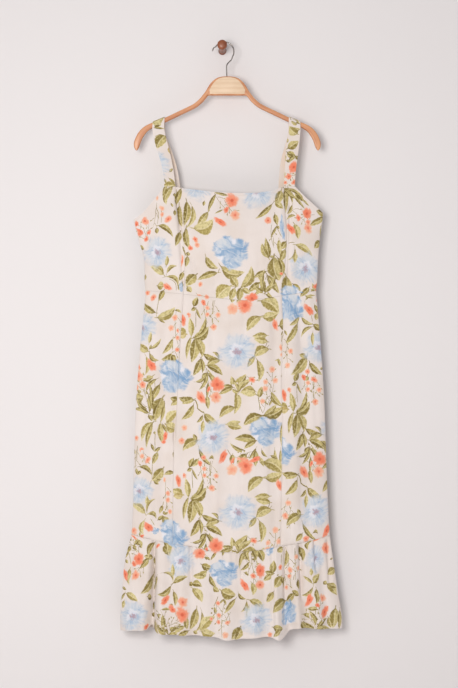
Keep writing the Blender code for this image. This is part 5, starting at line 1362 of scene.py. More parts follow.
def repeat_drift(height, shift):
    """How much wider the skirt is where a motif repeats than where it is charted."""
    half = middle_and_half(height)[1]
    return float(middle_and_half(height - shift[1])[1] / half)


def make_panel(context, name, tier, ends, count, prints, seams):
    """A panel of the dress between two sides, given as functions of the height. count is its
    columns and rows, and seams gives each sewn edge's share of the full seam depth."""
    settings = context.scene.sundress_cloth
    start, end = ends

    def place(across, up):
        height = between(tier.low.at(start(tier.low.heights[0])), tier.high.heights[0], up)
        for _ in range(PLACE_ROUNDS):
            angle = between(start(height), end(height), across)
            height = between(tier.low.at(angle), tier.high.at(angle), up)
        return angle, height

    fine = np.linspace(0.0, 1.0, FINE_COLUMNS)
    angle, height = place(fine, np.full(FINE_COLUMNS, 0.5))
    row = tier.shape(angle, height)
    lengths = np.concatenate([[0.0], np.cumsum(np.linalg.norm(np.diff(row, axis=0), axis=-1))])
    shares = np.interp(close_steps(lengths[-1], count[0]), lengths, fine)
    middle = angle[FINE_COLUMNS // 2]
    tall = abs(float(tier.high.at(middle) - tier.low.at(middle)))
    ups = close_steps(tall, count[1]) / tall
    across, up = np.meshgrid(shares, ups)
    angle, height = place(across, up)
    outer = tier.shape(angle, height)
    normal = outward(tier.shape, angle, height)
    from_start, from_end = edge_distances(outer, 1)
    from_low, from_high = edge_distances(outer, 0)
    near = {"start": from_start, "end": from_end, "low": from_low, "high": from_high}
    dip = np.zeros(outer.shape[:2])
    for side, share in seams.items():
        dip = np.maximum(dip, share * np.exp(-((near[side] / SEAM_REACH) ** 2)))
    outer = outer - normal * (dip * settings.seam_depth)[..., None]
    inner = outer - normal * (settings.thickness * (1 - SEAM_THINNING * dip))[..., None]
    flat = tier.flat(angle, up)

    def flat_of(place_across, place_height, shift):
        s, t = tier.flat_of(place_across, place_height)
        return s * repeat_drift(place_height, shift) + shift[0], t + shift[1]

    outer = pulled_in(outer, seams)
    inner = pulled_in(inner, seams)
    return shell(name, outer, inner, flat, prints, flat_of)


def declare_cloth(piece):
    """Puts a piece of cloth in the place of the solid of the same node name."""
    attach(piece, BODY)
    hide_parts(piece.name.removeprefix("cloth_"))


class Nodes:
    """Adds nodes to a tree and links them, one call for each."""

    def __init__(self, tree):
        self.tree = tree

    def add(self, kind, inputs=(), **settings):
        node = self.tree.nodes.new(kind)
        for name, value in settings.items():
            setattr(node, name, value)
        for socket, value in dict(inputs).items():
            self.feed(node.inputs[socket], value)
        return node

    def feed(self, socket, value):
        if isinstance(value, bpy.types.NodeSocket):
            self.tree.links.new(value, socket)
        else:
            socket.default_value = value

    def math(self, operation, first, second=0.0, third=0.0):
        node = self.add("ShaderNodeMath", {0: first, 1: second, 2: third}, operation=operation)
        return node.outputs[0]

    def plus(self, first, second):
        return self.math("ADD", first, second)

    def times(self, first, second):
        return self.math("MULTIPLY", first, second)

    def times_plus(self, value, factor, added):
        return self.math("MULTIPLY_ADD", value, factor, added)

    def rest_of(self, share):
        return self.math("SUBTRACT", 1.0, share)

    def varied(self, value, noise, amount):
        """A value moved up and down by a noise that lies between 0 and 1."""
        return self.plus(value, self.times_plus(noise, amount, -amount / 2))

    def clamped(self, value):
        return self.math("MINIMUM", self.math("MAXIMUM", value, 0.0), 1.0)

    def smooth(self, value, start, end):
        node = self.add(
            "ShaderNodeMapRange",
            {"Value": value, "From Min": start, "From Max": end},
            interpolation_type="SMOOTHSTEP",
        )
        return node.outputs["Result"]

    def length(self, place):
        node = self.add("ShaderNodeVectorMath", {0: place}, operation="LENGTH")
        return node.outputs["Value"]

    def mix(self, share, first, second, blend="MIX"):
        node = self.add("ShaderNodeMix", data_type="RGBA", blend_type=blend)
        self.feed(node.inputs["Factor"], share)
        self.feed(node.inputs[6], first)
        self.feed(node.inputs[7], second)
        return node.outputs[2]

    def noise(self, place, scale, detail=2.0, distortion=0.0):
        node = self.add(
            "ShaderNodeTexNoise",
            {"Vector": place, "Scale": scale, "Detail": detail, "Distortion": distortion},
        )
        return node.outputs["Fac"]

    def scaled(self, place, scale):
        node = self.add("ShaderNodeMapping", {"Vector": place, "Scale": scale})
        return node.outputs["Vector"]

    def split(self, place):
        node = self.add("ShaderNodeSeparateXYZ", {0: place})
        return node.outputs[0], node.outputs[1], node.outputs[2]

    def joined(self, x, y, z):
        return self.add("ShaderNodeCombineXYZ", {0: x, 1: y, 2: z}).outputs[0]


MOTIF_OUTPUTS = {"Mask": "value", "Colour": "colour"}


def new_group(name, colours, values, outputs):
    """An empty group of shader nodes. Its inputs are a place, then some colours and values."""
    group = bpy.data.node_groups.new(name, "ShaderNodeTree")
    kinds = {
        "place": "NodeSocketVector",
        "colour": "NodeSocketColor",
        "value": "NodeSocketFloat",
    }
    inputs = {"Place": "place"}
    inputs.update(dict.fromkeys(colours.split(), "colour"))
    inputs.update(dict.fromkeys(values.split(), "value"))
    for way, sockets in (("INPUT", inputs), ("OUTPUT", outputs)):
        for label, kind in sockets.items():
            group.interface.new_socket(name=label, in_out=way, socket_type=kinds[kind])
    nodes = Nodes(group)
    entry = nodes.add("NodeGroupInput")
    leave = nodes.add("NodeGroupOutput")
    return group, nodes, entry.outputs, leave.inputs


def make_leaf_print():
    """Draws a leaf or a stem from its place on it: a short stalk, a pale midrib, a light and a
    dark side, and a darker foot."""
    colours = "Light Middle Dark Warm Edge"
    group, nodes, given, result = new_group("leaf print", colours, "Wash", MOTIF_OUTPUTS)
    along, beside, tone = nodes.split(given["Place"])
    wash = given["Wash"]
    hump = nodes.times(along, nodes.rest_of(along))
    hump = nodes.math("MAXIMUM", nodes.times(hump, 4.0), 0.0)
    is_stem = nodes.math("GREATER_THAN", tone, STEM_ABOVE)
    is_leaf = nodes.rest_of(is_stem)
    power = nodes.times_plus(is_stem, STEM_POWER - LEAF_POWER, LEAF_POWER)
    taper = nodes.times_plus(along, -LEAF_TAPER, LEAF_BASE)
    taper = nodes.math("MAXIMUM", nodes.times(taper, is_leaf), is_stem)
    width = nodes.times(nodes.math("POWER", hump, power), taper)
    ragged = nodes.times(nodes.math("SUBTRACT", wash, 0.5), 0.3)
    away = nodes.math("ABSOLUTE", beside)
    inside = nodes.plus(nodes.math("SUBTRACT", width, away), ragged)
    mask = nodes.smooth(inside, 0.0, 0.16)
    stalk = nodes.times(nodes.smooth(away, 0.15, 0.06), nodes.smooth(along, -STALK_REACH, -0.08))
    stalk = nodes.times(stalk, nodes.smooth(along, 0.5, 0.3))
    mask = nodes.math("MAXIMUM", mask, nodes.times(stalk, nodes.times(is_leaf, 0.85)))
    depth = nodes.clamped(tone)
    lit = nodes.mix(depth, given["Light"], given["Middle"])
    shaded = nodes.mix(depth, given["Middle"], given["Dark"])
    side = nodes.smooth(nodes.times_plus(wash, 0.5, beside), 0.12, 0.38)
    colour = nodes.mix(side, lit, shaded)
    foot = nodes.times(nodes.smooth(along, 0.42, -0.02), nodes.times_plus(depth, 0.6, 0.15))
    colour = nodes.mix(foot, colour, given["Dark"])
    blotch = nodes.smooth(wash, 0.45, 0.66)
    colour = nodes.mix(nodes.times(blotch, 0.4), colour, given["Dark"])
    bright = nodes.smooth(wash, 0.5, 0.32)
    colour = nodes.mix(nodes.times(bright, 0.5), colour, given["Light"])
    rib = nodes.times(nodes.smooth(away, 0.13, 0.03), nodes.times(is_leaf, 0.6))
    rib = nodes.times(rib, nodes.smooth(along, 0.02, 0.25))
    colour = nodes.mix(rib, colour, given["Edge"])
    rim = nodes.times(nodes.smooth(inside, 0.26, 0.04), nodes.times(is_leaf, 0.5))
    rim = nodes.times(rim, nodes.smooth(along, 0.05, 0.4))
    colour = nodes.mix(rim, colour, given["Edge"])
    warmth = nodes.clamped(nodes.times(tone, -1.0))
    colour = nodes.mix(nodes.times(warmth, 0.75), colour, given["Warm"])
    nodes.feed(result["Mask"], mask)
    nodes.feed(result["Colour"], colour)
    return group


def make_blossom_print():
    """Draws a small five-petalled blossom, strong in its middle and pale and wet at its edge."""
    group, nodes, given, result = new_group("blossom print", "Strong Pale Heart", "Wash", MOTIF_OUTPUTS)
    x, y, tone = nodes.split(given["Place"])
    wash = given["Wash"]
    flat = nodes.joined(x, y, nodes.times(tone, 7.0))
    spill = nodes.noise(flat, 1.7, 2.0)
    radius = nodes.length(nodes.joined(x, y, 0.0))
    turn = nodes.math("ARCTAN2", y, x)
    turn = nodes.times_plus(spill, 1.6, turn)
    petals = nodes.math("ABSOLUTE", nodes.math("SINE", nodes.times_plus(turn, 2.5, 0.7)))
    petals = nodes.math("POWER", petals, 0.6)
    outline = nodes.times_plus(petals, 0.16, 0.76)
    outline = nodes.varied(outline, spill, 0.5)
    outline = nodes.varied(outline, wash, 0.3)
    mask = nodes.smooth(nodes.math("SUBTRACT", outline, radius), 0.0, 0.34)
    strength = nodes.plus(tone, nodes.times_plus(radius, -1.1, 0.34))
    strength = nodes.plus(strength, nodes.times_plus(wash, 1.0, -0.45))
    strength = nodes.plus(strength, nodes.times_plus(spill, 0.9, -0.42))
    strength = nodes.clamped(strength)
    colour = nodes.mix(strength, given["Pale"], given["Strong"])
    gaps = nodes.times(nodes.smooth(petals, 0.45, 0.1), nodes.smooth(radius, 0.2, 0.6))
    colour = nodes.mix(nodes.times(gaps, 0.35), colour, given["Pale"])
    heart = nodes.times(nodes.smooth(radius, 0.24, 0.08), 0.7)
    heart = nodes.times(heart, nodes.smooth(tone, 0.15, 0.6))
    colour = nodes.mix(heart, colour, given["Heart"])
    nodes.feed(result["Mask"], mask)
    nodes.feed(result["Colour"], colour)
    return group


def make_peony_print():
    """Draws a large flower in washes of blue. Tone 0 is an open one with a small purple heart and
    a white cup beside it, and tone 1 a fuller, deeper one."""
    colours = "Deep Middle Pale White Heart"
    group, nodes, given, result = new_group("peony print", colours, "Wash", MOTIF_OUTPUTS)
    x, y, tone = nodes.split(given["Place"])
    wash = given["Wash"]
    radius = nodes.length(nodes.joined(x, y, 0.0))
    turn = nodes.math("ARCTAN2", y, x)
    seeded = nodes.joined(x, y, nodes.times(tone, 5.3))
    drift = nodes.add("ShaderNodeTexNoise", {"Vector": seeded, "Scale": 1.5, "Detail": 1.5})
    drift = nodes.add(
        "ShaderNodeVectorMath", {0: drift.outputs["Color"], 1: (-0.5, -0.5, -0.5)}, operation="ADD"
    )
    warped = nodes.add(
        "ShaderNodeVectorMath",
        {0: drift.outputs["Vector"], 1: (0.9, 0.9, 0.0), 2: seeded},
        operation="MULTIPLY_ADD",
    ).outputs["Vector"]
    petal = nodes.add("ShaderNodeTexVoronoi", {"Vector": warped, "Scale": 2.0, "Randomness": 0.85})
    shade, second, _third = nodes.split(petal.outputs["Color"])
    border = nodes.add(
        "ShaderNodeTexVoronoi",
        {"Vector": warped, "Scale": 2.0, "Randomness": 0.85},
        feature="DISTANCE_TO_EDGE",
    ).outputs["Distance"]
    brush = nodes.noise(nodes.scaled(warped, (1.6, 4.2, 1.0)), 1.3, 1.5, 0.5)
    lobes = nodes.math("ABSOLUTE", nodes.math("SINE", nodes.times_plus(turn, 2.5, 0.4)))
    broad = nodes.noise(seeded, 1.15, 0.5)
    outline = nodes.times_plus(lobes, 0.06, 0.80)
    outline = nodes.varied(outline, brush, 0.4)
    uneven = nodes.times_plus(tone, 0.35, 0.50)
    outline = nodes.plus(outline, nodes.times(uneven, nodes.plus(broad, -0.5)))
    inside = nodes.math("SUBTRACT", outline, radius)
    inside = nodes.varied(inside, wash, 0.10)
    mask = nodes.smooth(inside, 0.0, nodes.times_plus(tone, -0.18, 0.36))
    petal_edge = nodes.smooth(border, 0.30, 0.0)
    amount = nodes.times_plus(shade, 0.45, nodes.times_plus(brush, 1.5, -0.55))
    amount = nodes.times_plus(petal_edge, 0.22, amount)
    amount = nodes.varied(amount, wash, 0.4)

    ahead = nodes.joined(nodes.math("DIVIDE", x, radius), nodes.math("DIVIDE", y, radius), radius)
    ahead = nodes.scaled(ahead, (4.5, 4.5, 1.6))
    streaks = nodes.noise(ahead, 1.5, 2.0)
    streaked = nodes.varied(amount, streaks, 1.7)
    blue = nodes.times(nodes.smooth(streaked, 0.10, 1.00), 0.9)
    open_flower = nodes.mix(blue, given["Pale"], given["Middle"])
    lines = nodes.times(nodes.smooth(border, 0.07, 0.01), nodes.smooth(brush, 0.46, 0.56))
    open_flower = nodes.mix(nodes.times(lines, 0.35), open_flower, given["Deep"])
    band = nodes.varied(radius, brush, 0.4)
    cup = nodes.times(nodes.smooth(band, 0.10, 0.16), nodes.smooth(band, 0.38, 0.26))
    cup = nodes.times(cup, nodes.smooth(nodes.times_plus(y, 0.5, x), 0.12, -0.06))
    open_flower = nodes.mix(nodes.times(cup, 0.6), open_flower, given["White"])
    heart = nodes.length(nodes.joined(nodes.times(x, 0.8), y, 0.0))
    heart = nodes.varied(heart, wash, 0.36)
    heart = nodes.varied(heart, streaks, 0.3)
    heart = nodes.times(nodes.smooth(heart, 0.18, 0.06), 0.8)
    open_flower = nodes.mix(heart, open_flower, given["Heart"])

    slope = nodes.times_plus(x, 0.22, nodes.times(y, -0.30))
    petal_shade = nodes.smooth(nodes.times_plus(petal.outputs["Distance"], 1.5, -0.25), 0.0, 0.75)
    strong = nodes.times_plus(shade, 0.50, nodes.times_plus(brush, 1.1, -0.50))
    strong = nodes.varied(strong, wash, 0.5)
    strong = nodes.plus(strong, slope)
    strong = nodes.times_plus(petal_shade, 0.30, strong)
    full_flower = nodes.mix(nodes.smooth(strong, 0.02, 0.56), given["Pale"], given["Middle"])
    full_flower = nodes.mix(nodes.smooth(strong, 0.48, 1.02), full_flower, given["Deep"])
    light_petal = nodes.times(nodes.smooth(second, 0.62, 0.74), nodes.smooth(strong, 0.55, 0.20))
    full_flower = nodes.mix(nodes.times(light_petal, 0.75), full_flower, given["White"])
    rims = nodes.times(nodes.smooth(border, 0.10, 0.0), nodes.smooth(brush, 0.56, 0.42))
    full_flower = nodes.mix(nodes.times(rims, 0.6), full_flower, given["Pale"])
    strokes = nodes.times(nodes.smooth(border, 0.18, 0.10), nodes.smooth(border, 0.03, 0.09))
    strokes = nodes.times(strokes, nodes.smooth(brush, 0.44, 0.58))
    full_flower = nodes.mix(nodes.times(strokes, 0.45), full_flower, given["Deep"])
    colour = nodes.mix(nodes.smooth(tone, 0.3, 0.7), open_flower, full_flower)
    nodes.feed(result["Mask"], mask)
    nodes.feed(result["Colour"], colour)
    return group


def make_weave():
    """Thread by thread weave of a fine cloth, from its flat place in metres."""
    group, nodes, given, result = new_group("fine weave", "", "Pitch", {"Height": "value"})
    across, down, _rest = nodes.split(given["Place"])
    across = nodes.math("DIVIDE", nodes.times(across, 2 * math.pi), given["Pitch"])
    down = nodes.math("DIVIDE", nodes.times(down, 2 * math.pi), given["Pitch"])
    height = nodes.times(nodes.math("SINE", across), nodes.math("SINE", down))
    nodes.feed(result["Height"], nodes.times_plus(height, 0.5, 0.5))
    return group


def make_grain():
    """Long wood grain from a place along and across the wood, in metres."""
    group, nodes, given, result = new_group("wood grain", "", "Stretch", {"Grain": "value", "Pores": "value"})
    along, across, third = nodes.split(given["Place"])
    along = nodes.math("DIVIDE", along, given["Stretch"])
    place = nodes.joined(along, across, third)
    bend = nodes.noise(place, 90.0, 2.0)
    rings = nodes.times_plus(across, 620.0, nodes.times(bend, 9.0))
    rings = nodes.times_plus(nodes.math("SINE", rings), 0.5, 0.5)
    fibres = nodes.noise(place, 900.0, 3.0)
    grain = nodes.times_plus(rings, 0.45, nodes.times(fibres, 0.55))
    nodes.feed(result["Grain"], grain)
    nodes.feed(result["Pores"], nodes.smooth(fibres, 0.60, 0.70))
    return group


GROUP_MAKERS = {
    "leaf print": make_leaf_print,
    "blossom print": make_blossom_print,
    "peony print": make_peony_print,
    "fine weave": make_weave,
    "wood grain": make_grain,
}


def shared_group(name):
    """A node group by name, made when it is first asked for."""
    if name not in bpy.data.node_groups:
        GROUP_MAKERS[name]()
    return bpy.data.node_groups[name]


def use_group(nodes, name, inputs):
    """Places a shared group of nodes and gives its outputs."""
    node = nodes.add("ShaderNodeGroup")
    node.node_tree = shared_group(name)
    for socket, value in inputs.items():
        nodes.feed(node.inputs[socket], value)
    return node.outputs


def new_finish(name):
    """A new material, its nodes, and its shader."""
    made = bpy.data.materials.new(name)
    made.use_nodes = True
    nodes = Nodes(made.node_tree)
    shader = made.node_tree.nodes["Principled BSDF"]
    return nodes, shader


def surface(nodes, shader, colour, rough, height, strength, distance):
    """Feeds a shader its colour, its roughness and a bump."""
    nodes.feed(shader.inputs["Base Color"], colour)
    nodes.feed(shader.inputs["Roughness"], rough)
    bump = nodes.add("ShaderNodeBump", {"Height": height, "Strength": strength, "Distance": distance})
    nodes.feed(shader.inputs["Normal"], bump.outputs["Normal"])


def own_place(nodes):
    """A place on the piece itself, in metres."""
    return nodes.add("ShaderNodeTexCoord").outputs["Object"]


def cloth_place(nodes):
    """A place on the cloth as it lies flat, in metres."""
    return nodes.add("ShaderNodeUVMap", uv_map="cloth_flat").outputs["UV"]


def cloth_surface(nodes, shader, colour, rough, weave, crinkle):
    """The cloth's colour and roughness, with its fine weave and its long soft crinkles as a bump."""
    place = cloth_place(nodes)
    threads = use_group(nodes, "fine weave", {"Place": place, "Pitch": WEAVE_PITCH})["Height"]
    long_ways = nodes.noise(nodes.scaled(place, (260.0, 42.0, 1.0)), 1.0, 3.0, 0.4)
    cross_ways = nodes.noise(nodes.scaled(place, (60.0, 120.0, 1.0)), 1.0, 2.0, 0.8)
    height = nodes.times_plus(threads, weave, nodes.times(long_ways, crinkle))
    height = nodes.times_plus(cross_ways, crinkle * 0.6, height)
    surface(nodes, shader, colour, rough, height, 0.7, 0.001)


def make_printed_chiffon(settings):
    """The dress's outer cloth, with the print that its faces carry."""
    nodes, shader = new_finish("printed chiffon")
    place = cloth_place(nodes)
    wash = nodes.noise(own_place(nodes), 210.0, 3.0, 0.5)
    broad = nodes.noise(own_place(nodes), 14.0, 2.0)
    threads = use_group(nodes, "fine weave", {"Place": place, "Pitch": WEAVE_PITCH})["Height"]
    # Painted shade: the ground is mixed towards its darker copy where a broad noise is high, and a little on
    # the weave's threads
    colour = nodes.mix(nodes.smooth(broad, 0.35, 0.7), settings.ground[:], settings.ground_deep[:])
    colour = nodes.mix(nodes.times(threads, 0.06), colour, settings.ground_deep[:])

    def attribute(name):
        return nodes.add("ShaderNodeAttribute", attribute_name=name).outputs["Vector"]

    leaf_colours = {
        "Light": settings.leaf_light,
        "Middle": settings.leaf_middle,
        "Dark": settings.leaf_dark,
        "Warm": settings.leaf_warm,
        "Edge": settings.leaf_edge,
    }
    peony_colours = {
        "Deep": settings.blue_deep,
        "Middle": settings.blue_middle,
        "Pale": settings.blue_pale,
        "White": settings.peony_white,
        "Heart": settings.peony_heart,
    }
    blossom_colours = {
        "Strong": settings.coral,
        "Pale": settings.coral_pale,
        "Heart": settings.coral_heart,
    }
    for group, name, count, colours in (
        ("leaf print", "leaf", LEAF_SLOTS, leaf_colours),
        ("peony print", "peony", PEONY_SLOTS, peony_colours),
        ("blossom print", "blossom", BLOSSOM_SLOTS, blossom_colours),
        ("leaf print", "over_leaf", 1, leaf_colours),
    ):
        for index in range(count):
            inputs = {"Place": attribute(f"{name}_{index + 1}"), "Wash": wash}
            inputs.update({label: own[:] for label, own in colours.items()})
            drawn = use_group(nodes, group, inputs)
            colour = nodes.mix(drawn["Mask"], colour, drawn["Colour"])
    cloth_surface(nodes, shader, colour, nodes.times_plus(broad, 0.14, 0.72), 0.05, 0.55)
    shader.inputs["Sheen Weight"].default_value = 0.12
    shader.inputs["Sheen Roughness"].default_value = 0.45
    shader.inputs["Specular IOR Level"].default_value = 0.25


def make_lining(settings):
    """The plain lining."""
    nodes, shader = new_finish("lining")
    place = cloth_place(nodes)
    broad = nodes.noise(own_place(nodes), 22.0, 2.0)
    threads = use_group(nodes, "fine weave", {"Place": place, "Pitch": LINING_PITCH})["Height"]
    # Painted shade: the lining is mixed towards the ground's darker copy where a broad noise is high, and a
    # little on the weave's threads
    colour = nodes.mix(nodes.smooth(broad, 0.3, 0.7), settings.lining[:], settings.ground_deep[:])
    colour = nodes.mix(nodes.times(threads, 0.08), colour, settings.ground_deep[:])
    cloth_surface(nodes, shader, colour, nodes.times_plus(broad, 0.15, 0.5), 0.05, 0.3)
    shader.inputs["Specular IOR Level"].default_value = 0.3


def make_thread(settings):
    """The stitches' twisted thread."""
    nodes, shader = new_finish("thread")
    place = own_place(nodes)
    plies = nodes.noise(place, 4200.0, 2.0)
    colour = nodes.mix(plies, settings.colour[:], settings.shade[:])
    surface(nodes, shader, colour, nodes.times_plus(plies, 0.2, 0.6), plies, 0.4, 0.0002)


def make_wood(name, place_of, light, dark, stretch, rough):
    """A wood's finish, with its grain along the first direction of its place."""
    nodes, shader = new_finish(name)
    place = place_of(nodes)
    outputs = use_group(nodes, "wood grain", {"Place": place, "Stretch": stretch})
    broad = nodes.noise(own_place(nodes), 30.0, 2.0)
    share = nodes.times_plus(broad, 0.5, nodes.times(outputs["Grain"], 0.6))
    colour = nodes.mix(nodes.smooth(share, 0.25, 0.85), light, dark)
    colour = nodes.mix(nodes.times(outputs["Pores"], 0.35), colour, dark)
    rough = nodes.times_plus(outputs["Grain"], 0.16, rough)
    surface(nodes, shader, colour, rough, outputs["Grain"], 0.25, 0.0003)
    shader.inputs["Coat Weight"].default_value = 0.15
    shader.inputs["Coat Roughness"].default_value = 0.25


def make_steel(settings):
    """The hook's drawn wire, with duller places."""
    nodes, shader = new_finish("bright wire")
    place = own_place(nodes)
    drawn = nodes.noise(nodes.scaled(place, (700.0, 700.0, 700.0)), 1.0, 2.0)
    stain = nodes.noise(place, 160.0, 2.0)
    colour = nodes.mix(nodes.smooth(stain, 0.4, 0.7), settings.wire[:], settings.wire_dull[:])
    surface(nodes, shader, colour, nodes.times_plus(drawn, 0.2, 0.22), drawn, 0.1, 0.0002)
    shader.inputs["Metallic"].default_value = 1.0


def hanger_place(nodes):
    """A place along and across the wood, in metres."""
    return nodes.add("ShaderNodeUVMap", uv_map="along_the_wood").outputs["UV"]


def finish(name):
    """A finish by name, made when it is first asked for."""
    if name not in bpy.data.materials:
        scene = bpy.context.scene
        hanger = scene.sundress_hanger
        makers = {
            "printed chiffon": lambda: make_printed_chiffon(scene.sundress_cloth),
            "lining": lambda: make_lining(scene.sundress_cloth),
            "thread": lambda: make_thread(scene.sundress_stitching),
            "hanger wood": lambda: make_wood(
                "hanger wood", hanger_place, hanger.wood[:], hanger.wood_dark[:], 14.0, 0.38
            ),
            "inlay wood": lambda: make_wood(
                "inlay wood", hanger_place, hanger.inlay[:], hanger.inlay_dark[:], 10.0, 0.5
            ),
            "peg wood": lambda: make_wood(
                "peg wood", own_place, hanger.peg[:], hanger.peg_dark[:], 1.0, 0.34
            ),
            "bright wire": lambda: make_steel(hanger),
        }
        makers[name]()
    return bpy.data.materials[name]


def strap_leg(table, side, reach):
    """One side of a strap from the hanger down to the bodice, as rows of the height, the two
    edges' places across and their depths."""
    high = table[0]
    low = table[-1]
    rows = []
    for row in table:
        share = STRAP_DRAW_IN * (row.height - low.height) / (high.height - low.height)
        share = float(smooth_share(share))
        pair = []
        for across, low_across in ((row.left, low.left), (row.right, low.right)):
            angle = side * math.acos(float(share_across(low_across, low.height)))
            at_bodice = float(ring_point(angle, low.height)[1]) + side * STRAP_INSET
            pair.append((across, between(at_bodice, HANGING_PLANE - side * reach, share), row.height))
        rows.append(pair)
    return rows


def rounded_power(value, power):
    """A power of a value that keeps the value's sign."""
    return math.copysign(abs(value) ** power, value)


def arm_middle_height(out):
    """The height of an arm's middle line, some way out from the hanger's middle."""
    rows = ARM_ROWS[:-TIP_ROWS]
    outs = [(row.top_out + row.bottom_out) / 2 for row in rows]
    heights = [(row.top_height + row.bottom_height) / 2 for row in rows]
    return float(straight_value(outs, heights, out))


def strap_rows(front, back):
    """The strap's two edges: up the front, over the hanger's arm and down the back."""
    reach = HANGER_THICKNESS / 2 + STRAP_CLEARANCE + STRAP_THICKNESS / 2
    rise = ARM_HALF_HEIGHT + STRAP_CLEARANCE + STRAP_THICKNESS / 2
    rows = list(reversed(strap_leg(front, 1, reach)))
    for degrees in range(0, 181, STRAP_TURN_STEP):
        turn = math.radians(degrees)
        shift = degrees / 180
        edge = []
        for near, far in ((front[0].left, back[0].left), (front[0].right, back[0].right)):
            across = between(near, far, shift)
            middle = arm_middle_height(abs(across - HANGER_MIDDLE))
            y = HANGING_PLANE - reach * rounded_power(math.cos(turn), STRAP_TURN_POWER)
            edge.append((across, y, middle + rise * rounded_power(math.sin(turn), STRAP_TURN_POWER)))
        rows.append(edge)
    return np.array(rows + strap_leg(back, -1, reach))


def smooth_rows(rows, spacing):
    """The rows of a band, taken closer together on a smooth curve through them."""
    middle = rows.mean(axis=1)
    lengths = np.concatenate([[0.0], np.cumsum(np.linalg.norm(np.diff(middle, axis=0), axis=-1))])
    count = int(lengths[-1] / spacing)
    places = np.linspace(0.0, lengths[-1], count + 1)
    made = np.empty((count + 1, 2, 3))
    for side in range(2):
        for part in range(3):
            made[:, side, part] = smooth_value(lengths, rows[:, side, part], places)
    return made, places


def make_strap(name, front, back, prints):
    """A flat band of two layers, a little thicker along its middle than at its edges."""
    rows, places = smooth_rows(strap_rows(front, back), STRAP_ROW_SPACING)
    shares = np.array(STRAP_SHARES)
    middle = rows[:, None, 0] + (rows[:, None, 1] - rows[:, None, 0]) * shares[None, :, None]
    along = np.gradient(middle, axis=0)
    across = (rows[:, 1] - rows[:, 0])[:, None, :]
    normal = np.cross(np.broadcast_to(across, along.shape), along)
    normal = normal / np.linalg.norm(normal, axis=-1, keepdims=True)
    round_edge = np.sqrt(np.clip(1 - np.abs(2 * shares - 1) ** STRAP_EDGE_POWER, 0.0, 1.0))
    beside = np.minimum(shares, 1 - shares)
    stitched = np.exp(-(((beside - STRAP_DIP_PLACE) / STRAP_DIP_WIDTH) ** 2))
    half = STRAP_THICKNESS / 2 * between(STRAP_EDGE_THICKNESS, 1.0, round_edge) - STRAP_DIP * stitched
    ripple = RIPPLE * np.sin(places[:, None] * RIPPLE_ALONG + RIPPLE_ACROSS * shares[None, :])
    ripple = ripple * np.sin(np.pi * np.clip(places / places[-1], 0, 1))[:, None] ** 2
    wave = normal * ripple[..., None]
    outer = middle + wave + normal * half[None, :, None]
    inner = middle + wave - normal * half[None, :, None]
    width = np.linalg.norm(rows[:, 1] - rows[:, 0], axis=-1)
    flat = stacked((shares[None, :] - 0.5) * width[:, None], -places[:, None], 0.0)[..., :2]
    front_rows = places < places[-1] * STRAP_FRONT
    centre = (rows[:, 0] + rows[:, 1]) / 2

    def flat_of(place_across, place_height, shift):
        heights = centre[front_rows, 2]
        row = float(np.interp(place_height, heights, places[front_rows]))
        mid = float(np.interp(place_height, heights, centre[front_rows, 0]))
        beyond = max(0.0, place_height - float(heights[-1]))
        return place_across - mid + shift[0], -row - beyond + shift[1]

    return shell(name, outer, inner, flat, prints, flat_of)


def loop_tube(name, rings, material, places=None):
    """A closed form from a chain of rings with the same number of points, with flat ends."""
    rings = np.asarray(rings)
    count, sides = rings.shape[:2]
    index = np.arange(count * sides).reshape(count, sides)
    around = np.roll(index, -1, axis=1)
    faces = np.stack([index[:-1], around[:-1], around[1:], index[1:]], axis=-1).reshape(-1, 4).tolist()
    faces.append(index[0, ::-1].tolist())
    faces.append(index[-1].tolist())
    piece = mesh_object(name, rings.reshape(-1, 3).tolist(), faces, (material,))
    builder = bmesh.new()
    builder.from_mesh(piece.data)
    bmesh.ops.recalc_face_normals(builder, faces=builder.faces)
    builder.to_mesh(piece.data)
    builder.free()
    if places is not None:
        layer = piece.data.uv_layers.new(name="along_the_wood")
        corners = np.zeros(len(piece.data.loops), np.int32)
        piece.data.loops.foreach_get("vertex_index", corners)
        layer.data.foreach_set("uv", np.asarray(places).reshape(-1, 2)[corners].ravel())
    return piece


def rounded_section(half_depth, half_height, corner, steps):
    """The outline of a rounded rectangle, as pairs of its depth and its height."""
    points = []
    for side_y, side_z, first in ((1, 1, 0), (-1, 1, 90), (-1, -1, 180), (1, -1, 270)):
        middle_y = side_y * (half_depth - corner)
        middle_z = side_z * (half_height - corner)
        for step in range(steps + 1):
            turn = math.radians(first + 90 * step / steps)
            points.append((middle_y + corner * math.cos(turn), middle_z + corner * math.sin(turn)))
    return points


